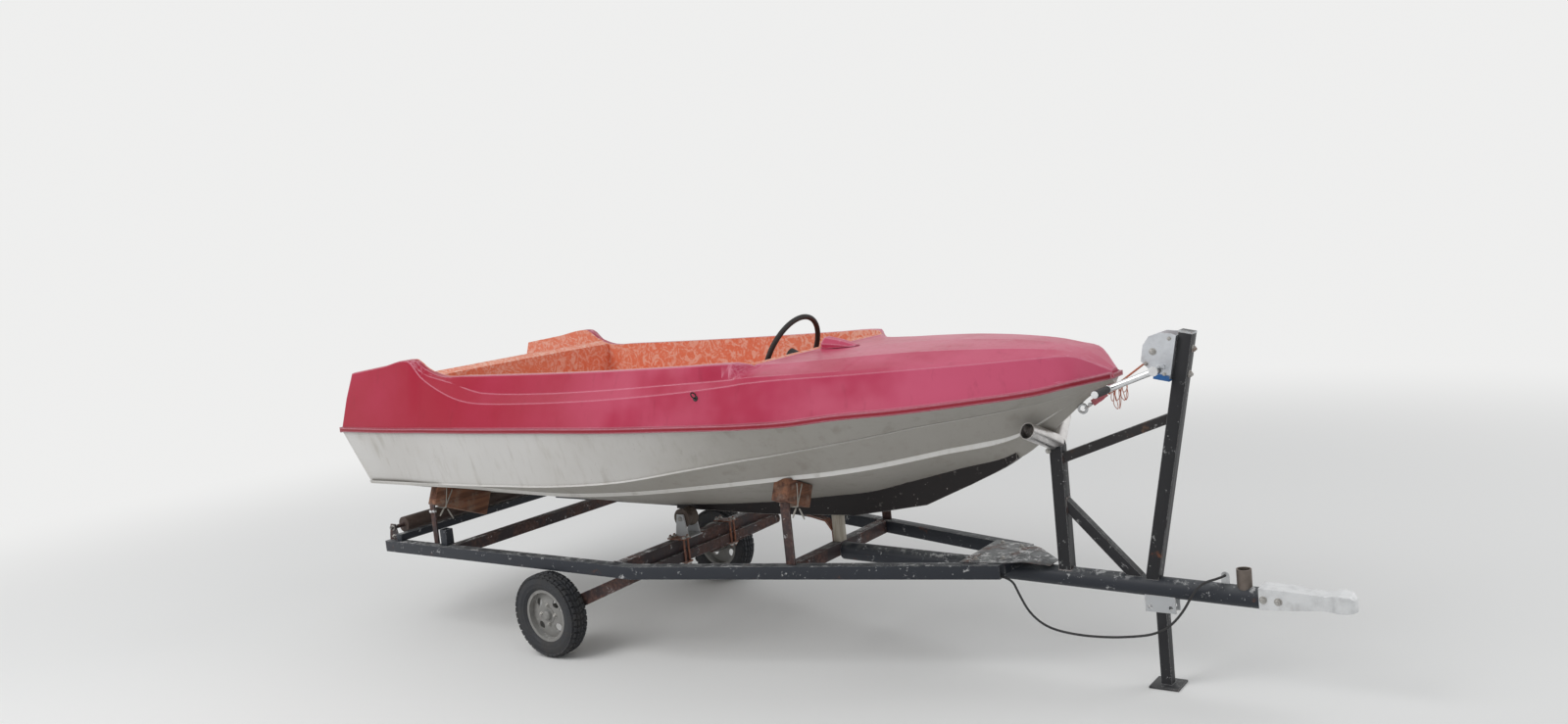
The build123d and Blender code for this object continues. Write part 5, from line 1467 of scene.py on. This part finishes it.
@dataclass(frozen=True)
class WinchDress:
    """The winch's rope, bolts, blue base and crank grip, and the post's cap.

    Places on the winch are given as a distance aft of the post's rear face and one up along the post.
    """

    level: float = 1.225
    cheek: float = 0.045
    drum: tuple[float, float] = (0.074, 0.014)
    turns: int = 9
    wire: float = 0.0040
    layer: float = 0.0295
    layer_end: float = 0.0290
    core: float = 0.0245
    second_layer: tuple[int, ...] = (1, 2, 3, 4)
    second_rise: float = 0.0034
    axle_nut: float = 0.0095
    spacers: tuple[tuple[float, float], ...] = ((0.022, 0.070), (0.022, -0.060), (0.092, -0.034))
    spacer_nut: float = 0.0055
    base_aft: float = 0.030
    base_plate: Point = (0.058, 0.094, 0.008)
    base_plate_up: float = -0.0790
    base_wall: Point = (0.058, 0.004, 0.020)
    base_wall_up: float = -0.072
    base_wall_y: float = 0.0485
    plate_ease: float = 0.0012
    wall_ease: float = 0.0008
    cap: Point = (0.0515, 0.0515, 0.0075)
    cap_drop: float = 0.004
    crank: tuple[float, float] = (0.030, -0.035)
    crank_arm: float = 0.180
    crank_drop: float = math.radians(20.0)
    grip_gap: float = 0.003
    grip_length: float = 0.114
    grip_end: float = 0.0124
    ribs: int = 11
    rib: float = 0.0142
    rib_foot: float = 0.0136
    rib_slope: float = 0.0012
    rib_gap: float = 0.0032

    def at(self, aft: float, y: float, up: float) -> Vector:
        """Works out a place on the winch.

        Args:
            aft: its distance aft of the post's rear face.
            y: its y in the frame.
            up: its distance along the post from the winch's level.

        Returns:
            The place in the frame.
        """
        foot = Vector((ahead(POST.face(self.level, -1)), y, self.level))
        return foot - POST.ahead_way() * aft + POST.up_way() * up

    def coil(self) -> None:
        """Winds the rope on the drum as rounded turns of a turned profile."""
        mesh = bmesh.new()
        crown = []
        for index in range(self.turns):
            middle = (index - (self.turns - 1) / 2) * 2 * self.wire
            level = self.layer + (self.second_rise if index in self.second_layer else 0.0)
            for step in range(5):
                angle = math.pi * (1.0 - step / 5)
                crown.append((middle + self.wire * math.cos(angle), level + self.wire * math.sin(angle)))
        half = self.turns * self.wire
        profile = [*crown, (half, self.layer_end), (half, self.core), (-half, self.core)]
        add_turned(mesh, profile, self.at(self.drum[0], 0.0, self.drum[1]), (0.0, 1.0, 0.0), 48)
        tidy_mesh(mesh)
        finished_piece("drum_rope", mesh, ROPE_ORANGE, ROOT)

    def metal(self) -> None:
        """Adds the bolts of the drum's axle and of the spacers, on both cheeks."""
        mesh = bmesh.new()
        for side in (-1, 1):
            way = (0.0, float(side), 0.0)
            add_bolt(mesh, self.at(self.drum[0], side * self.cheek, self.drum[1]), way, self.axle_nut)
            for aft, up in self.spacers:
                add_bolt(mesh, self.at(aft, side * self.cheek, up), way, self.spacer_nut)
        finished_piece("winch_bolts", mesh, BOLT_METAL, ROOT)

    def base(self) -> None:
        """Adds the blue channel under the cheeks and the pale cap on the post."""
        turn = Matrix.Rotation(POST.lean(), 4, "Y")
        mesh = bmesh.new()
        plate = Matrix.Translation(self.at(self.base_aft, 0.0, self.base_plate_up)) @ turn
        add_block(mesh, plate, self.base_plate, self.plate_ease)
        for side in (-1, 1):
            place = self.at(self.base_aft, side * self.base_wall_y, self.base_wall_up)
            add_block(mesh, Matrix.Translation(place) @ turn, self.base_wall, self.wall_ease)
        finished_piece("winch_base", mesh, WINCH_BLUE, ROOT)
        cap = bmesh.new()
        head = Vector((ahead(POST.foot_x + POST.forward), 0.0, POST.foot_z + POST.rise))
        middle = head - POST.up_way() * self.cap_drop
        add_block(cap, Matrix.Translation(middle) @ turn, self.cap, self.plate_ease)
        finished_piece("post_cap", cap, PALE_PAINT, ROOT)

    def grip(self) -> None:
        """Adds the ribbed sleeve over the crank's handle."""
        box_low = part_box("winch_crank")[0]
        drop = Vector((-math.cos(self.crank_drop), 0.0, -math.sin(self.crank_drop)))
        end = self.at(self.crank[0], 0.0, self.crank[1]) + drop * self.crank_arm
        mesh = bmesh.new()
        profile = [(0.0, self.grip_end)]
        pitch = self.grip_length / self.ribs
        for index in range(self.ribs):
            start = self.grip_length * index / self.ribs
            profile += [(start + self.rib_slope, self.rib), (start + pitch - self.rib_gap, self.rib),
                        (start + pitch - self.rib_slope, self.rib_foot)]
        profile.append((self.grip_length, self.grip_end))
        add_turned(mesh, profile, (end.x, box_low[1] + self.grip_gap, end.z), (0.0, 1.0, 0.0), 36)
        tidy_mesh(mesh)
        finished_piece("crank_grip", mesh, GRIP_RUBBER, "crank")

    def build(self) -> None:
        """Builds the winch's dress."""
        self.coil()
        self.metal()
        self.base()
        self.grip()


@dataclass(frozen=True)
class BowLine:
    """The laid rope from winch to bow eye with its shackle, pink webbing and frayed knot."""

    eye: Point = (2.378, 0.0, 1.038)
    off_drum: Point = (-0.014, 0.0, -0.0238)
    strand: float = 0.0021
    lay: float = 0.0020
    turn_length: float = 0.026
    shackle_at: float = 0.006
    bow: float = 0.0135
    bow_wire: float = 0.0035
    leg: float = 0.030
    pin: float = 0.0042
    pin_half: float = 0.021
    head: float = 0.0075
    head_y: float = 0.0235
    head_height: float = 0.004
    webbing_at: float = 0.072
    webbing_block: Point = (0.0105, 0.025, 0.066)
    webbing_band: Point = (0.0135, 0.027, 0.020)
    band_up: float = 0.004
    block_ease: float = 0.0022
    band_ease: float = 0.0018
    knot_wire: float = 0.0032
    knot_turns: tuple[tuple[float, float, float], ...] = (
        (0.118, 0.5, 0.011), (0.126, -0.4, 0.012), (0.134, 0.2, 0.010), (0.142, -0.7, 0.013),
    )
    fray_wire: float = 0.0014
    fray_loops: int = 7

    def line(self) -> tuple[Vector, Vector]:
        """Finds the rope's two ends.

        Returns:
            The end at the bow eye and the end on the drum.
        """
        winch = WinchDress()
        drum = winch.at(winch.drum[0], 0.0, winch.drum[1])
        return Vector((ahead(self.eye[0]), *self.eye[1:])), drum + Vector(self.off_drum)

    def way(self) -> Vector:
        """Gives the direction from the eye to the winch."""
        low, high = self.line()
        return (high - low).normalized()

    def across(self) -> tuple[Vector, Vector]:
        """Gives two directions square to the rope and to each other."""
        first = self.way().orthogonal().normalized()
        return first, self.way().cross(first)

    def rope(self) -> None:
        """Lays three strands round each other along the taut line."""
        low, high = self.line()
        first, second = self.across()
        length = (high - low).length
        steps = int(length / self.turn_length * 10)
        strands: list[Wire] = []
        for index in range(3):
            points = []
            for step in range(steps + 1):
                angle = TURN * (step / 10 + index / 3)
                place = low + self.way() * (length * step / steps)
                points.append(tuple(place + (first * math.cos(angle) + second * math.sin(angle)) * self.lay))
            strands.append((points, False))
        wire_curve("laid_rope", strands, self.strand, ROPE_ORANGE, ROOT, ("winch_rope",))

    def shackle(self) -> None:
        """Bends the shackle's bow through the eye and closes it with its pin."""
        way = self.way()
        mesh = bmesh.new()
        bow = self.line()[0] + way * self.shackle_at
        side = Vector((0.0, 1.0, 0.0))
        add_bend(mesh, bow, way.cross(side), self.bow, self.bow_wire, -side, math.pi, 16)
        for sign in (-1, 1):
            add_drum(mesh, bow + side * (self.bow * sign), way, self.bow_wire, self.leg, 12)
        ends = bow + way * self.leg
        add_drum(mesh, ends - side * self.pin_half, side, self.pin, 2 * self.pin_half, 14)
        add_drum(mesh, ends - side * self.head_y, side, self.head, self.head_height, 16)
        bmesh.ops.recalc_face_normals(mesh, faces=mesh.faces)
        finished_piece("bow_shackle", mesh, ZINC, ROOT)

    def webbing(self) -> None:
        """Wraps the pink webbing over the rope beside the shackle."""
        placing = matrix_at(self.line()[0] + self.way() * self.webbing_at, self.way())
        mesh = bmesh.new()
        add_block(mesh, placing, self.webbing_block, self.block_ease)
        band = placing @ Matrix.Translation((0.0, 0.0, self.band_up))
        add_block(mesh, band, self.webbing_band, self.band_ease)
        bmesh.ops.subdivide_edges(mesh, edges=mesh.edges, cuts=1, use_grid_fill=True)
        finished_piece("webbing_wrap", mesh, STRAP_PINK, ROOT, crease=50.0)

    def knot(self) -> None:
        """Ties closed loops round the line above the webbing, each with its place, tilt and size."""
        first, second = self.across()
        loops: list[Wire] = []
        for along, tilt, size in self.knot_turns:
            centre = self.line()[0] + self.way() * along
            points = []
            for step in range(12):
                angle = TURN * step / 12
                swing = first * math.cos(angle) + second * math.sin(angle)
                lift = self.way() * (math.sin(angle + tilt) * size * tilt)
                points.append(tuple(centre + swing * size * (1.0 + 0.2 * math.sin(3 * angle)) + lift))
            loops.append((points, True))
        wire_curve("rope_knot", loops, self.knot_wire, ROPE_ORANGE, ROOT)

    def fray(self) -> None:
        """Hangs loosened loops of the rope's fibre below the knot."""
        low, high = self.line()
        loops: list[Wire] = []
        for index in range(self.fray_loops):
            top = low.lerp(high, 0.40 + 0.035 * index)
            drop = 0.050 + 0.013 * ((index * 3) % 5)
            wide = 0.007 + 0.002 * (index % 3)
            sway = 0.010 * math.sin(index * 1.9)
            lean = Vector((0.3, math.cos(index * 2.4), 0.0)).normalized() * wide
            points = [
                top,
                top - Vector((0.0, 0.0, drop * 0.3)) + lean,
                top - Vector((-sway, 0.0, drop * 0.7)) + lean * 1.6,
                top - Vector((-sway, 0.0, drop)),
                top - Vector((sway, 0.0, drop * 0.75)) - lean * 1.3,
                top - Vector((0.0, 0.0, drop * 0.3)) - lean * 0.5,
            ]
            loops.append(([tuple(point) for point in points], True))
        wire_curve("rope_fray", loops, self.fray_wire, ROPE_ORANGE, ROOT)

    def build(self) -> None:
        """Builds the rope and its fittings."""
        self.fray()
        self.rope()
        self.shackle()
        self.webbing()
        self.knot()


@dataclass(frozen=True)
class DeckFittings:
    """The small hook on each side of the deck."""

    hook_x: float = 1.020
    hook_z: float = 1.190
    plate: tuple[float, float, float] = (0.013, 0.0035, 0.0115)
    shank: tuple[float, float] = (0.0030, 0.014)
    bend: float = 0.0125
    bend_out: float = 0.012
    bend_up: float = 0.010
    bend_turn: float = math.radians(235.0)
    rod: float = 0.0028

    def side_point(self) -> Vector:
        """Finds where the near topside lies at the hook.

        Returns:
            The place in the frame.
        """
        data = frame["nodes"]["deck_moulding"].data
        tree = BVHTree.FromPolygons([v.co for v in data.vertices], [p.vertices for p in data.polygons])
        return tree.ray_cast(Vector((ahead(self.hook_x), -1.2, self.hook_z)), Vector((0.0, 1.0, 0.0)))[0]

    def build(self) -> None:
        """Adds the hooks as bent rods on round plates."""
        mesh = bmesh.new()
        near = self.side_point()
        foot, height, top = self.plate
        for side in (-1, 1):
            base = Vector((near.x, near.y * -side, near.z))
            out = Vector((0.0, float(side), 0.35)).normalized()
            add_drum(mesh, base - out * 0.001, out, foot, height, 24, top)
            middle = base + out * self.bend_out + Vector((0.0, 0.0, self.bend_up))
            start = (0.0, -float(side), -0.3)
            add_bend(mesh, middle, (0.8, 0.0, 0.5), self.bend, self.rod, start, self.bend_turn, 20)
            add_drum(mesh, base, out, *self.shank, 10)
        bmesh.ops.recalc_face_normals(mesh, faces=mesh.faces)
        finished_piece("deck_hooks", mesh, HELM_BLACK, ROOT)


# The cable


@dataclass
class CableRun:
    """The black cable from the near rail's front end to its eye on the drawbar."""

    radius: float = 0.0045
    length: float = 1.10
    route: tuple[Point, ...] = (
        (1.998, -0.149, 0.408), (2.076, -0.127, 0.407), (2.110, -0.128, 0.330), (2.150, -0.131, 0.262),
        (2.218, -0.124, 0.212), (2.330, -0.117, 0.196), (2.440, -0.088, 0.190), (2.528, -0.066, 0.196),
        (2.598, -0.056, 0.209), (2.662, -0.057, 0.246), (2.714, -0.058, 0.308), (2.752, -0.062, 0.376),
        (2.792, -0.068, 0.425), (2.846, -0.050, 0.441), (2.853, -0.0027, 0.438),
    )

    def build(self) -> bpy.types.Object:
        """Returns:
            The cable.
        """
        curve = bpy.data.curves.new("trailer_cable_run", "CURVE")
        curve.dimensions = "3D"
        curve.bevel_depth = self.radius
        curve.bevel_resolution = 5
        curve.resolution_u = 10
        curve.use_fill_caps = True
        spline = curve.splines.new("NURBS")
        spline.points.add(len(self.route) - 1)
        for point, (x, y, z) in zip(spline.points, self.route):
            point.co = (ahead(x), y, z, 1.0)
        spline.order_u = 3
        spline.use_endpoint_u = True
        cable = bpy.data.objects.new("trailer_cable_run", curve)
        bpy.context.scene.collection.objects.link(cable)
        curve.materials.append(CABLE_RUBBER.material())
        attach(cable, ROOT)
        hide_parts("trailer_cable")
        start = (ahead(self.route[0][0]), *self.route[0][1:])
        LOG.info("made the trailer's cable")
        return cable


# Studio


@dataclass
class Studio:
    """Pale floor, even light and the camera of the photograph's viewing angle."""

    camera_place: Point = (3.206, -4.242, 1.792)
    heading: float = 0.640
    dip: float = 0.103
    tilt: float = -0.103
    focal_px: float = 1234.3
    frame_px: float = 1600.0
    sensor: float = 36.0
    floor_radius: float = 60.0
    floor_tone: Rgb = (0.87, 0.87, 0.86)
    fade: tuple[float, float] = (3.2, 8.5)
    backdrop: Rgb = (0.86, 0.86, 0.855)
    sky: Rgb = (0.97, 0.985, 1.0)
    sky_strength: float = 0.54
    aim: Point = (0.0, 0.0, 0.7)
    lamps: tuple[tuple[str, Point, float, float], ...] = (
        ("key", (-2.5, -5.0, 6.0), 5.0, 225.0), ("fill", (5.0, 3.0, 5.5), 4.0, 80.0),
    )

    def camera(self) -> None:
        """Adds the camera where the photograph was taken."""
        forward = Vector((-math.sin(self.heading) * math.cos(self.dip),
                          math.cos(self.heading) * math.cos(self.dip), -math.sin(self.dip)))
        right = Vector((math.cos(self.heading), math.sin(self.heading), 0.0))
        up = right.cross(forward)
        turned = right * math.cos(self.tilt) + up * math.sin(self.tilt)
        upright = up * math.cos(self.tilt) - right * math.sin(self.tilt)
        data = bpy.data.cameras.new("view")
        data.sensor_fit = "HORIZONTAL"
        data.sensor_width = self.sensor
        data.lens = self.sensor * self.focal_px / self.frame_px
        camera = bpy.data.objects.new("view", data)
        basis = Matrix((turned, upright, -forward)).transposed().to_4x4()
        camera.matrix_world = Matrix.Translation(self.camera_place) @ basis
        bpy.context.scene.collection.objects.link(camera)
        bpy.context.scene.camera = camera

    def floor(self) -> None:
        """Adds a broad pale floor that fades into the backdrop, so no horizon shows."""
        mesh = bmesh.new()
        bmesh.ops.create_circle(mesh, cap_ends=True, segments=96, radius=self.floor_radius)
        data = bpy.data.meshes.new("floor")
        mesh.to_mesh(data)
        mesh.free()
        floor = bpy.data.objects.new("floor", data)
        bpy.context.scene.collection.objects.link(floor)
        graph = Graph("pale_floor")
        graph.set(Base_Color=self.floor_tone, Roughness=0.9)
        coords = graph.out(graph.node("ShaderNodeTexCoord"), "Object")
        measure = graph.node("ShaderNodeVectorMath", {"operation": "LENGTH"}, {0: coords})
        distance = graph.out(measure, "Value")
        glow = graph.node("ShaderNodeEmission", {}, {"Color": self.backdrop, "Strength": 1.0})
        shades = {0: distance.ramp(*self.fade), 1: graph.out(graph.shader, 0), 2: graph.out(glow, 0)}
        mixed = graph.node("ShaderNodeMixShader", {}, shades)
        graph.feed(graph.output.inputs["Surface"], graph.out(mixed, 0))
        floor.data.materials.append(graph.material)

    def light(self) -> None:
        """Adds an even surrounding light and two broad soft lamps."""
        world = bpy.data.worlds.new("studio")
        world.use_nodes = True
        tree = world.node_tree
        tree.nodes.clear()
        path = tree.nodes.new("ShaderNodeLightPath")
        plain = tree.nodes.new("ShaderNodeBackground")
        plain.inputs["Color"].default_value = (*self.sky, 1.0)
        plain.inputs["Strength"].default_value = self.sky_strength
        seen = tree.nodes.new("ShaderNodeBackground")
        seen.inputs["Color"].default_value = (*self.backdrop, 1.0)
        seen.inputs["Strength"].default_value = 1.0
        either = tree.nodes.new("ShaderNodeMath")
        either.operation = "MAXIMUM"
        tree.links.new(path.outputs["Is Camera Ray"], either.inputs[0])
        tree.links.new(path.outputs["Is Glossy Ray"], either.inputs[1])
        mixed = tree.nodes.new("ShaderNodeMixShader")
        tree.links.new(either.outputs[0], mixed.inputs[0])
        tree.links.new(plain.outputs[0], mixed.inputs[1])
        tree.links.new(seen.outputs[0], mixed.inputs[2])
        out = tree.nodes.new("ShaderNodeOutputWorld")
        tree.links.new(mixed.outputs[0], out.inputs[0])
        bpy.context.scene.world = world
        for name, place, size, power in self.lamps:
            data = bpy.data.lights.new(name, "AREA")
            data.shape = "DISK"
            data.size = size
            data.energy = power
            lamp = bpy.data.objects.new(name, data)
            lamp.location = place
            lamp.rotation_euler = (Vector(self.aim) - Vector(place)).to_track_quat("-Z", "Y").to_euler()
            bpy.context.scene.collection.objects.link(lamp)

    def build(self) -> None:
        """Adds camera, floor and light."""
        self.camera()
        self.floor()
        self.light()
        bpy.context.scene.view_settings.view_transform = "Standard"
        LOG.info("set the studio")


def main() -> None:
    """Builds the studio and dresses the boat and its trailer."""
    logging.basicConfig(level=logging.INFO, format="%(message)s")
    Studio().build()
    CableRun().build()
    for skin in SKINS:
        skin.build()
    for side, outboard in (("near", -1), ("far", 1)):
        RoadWheel(side, outboard).build()
    for work in (*HULL_RAILS, WeldSeams(), Fastenings(), BlockLashings(), WinchDress(), BowLine(),
                 DeckFittings()):
        work.build()


if __name__ == "__main__":
    main()
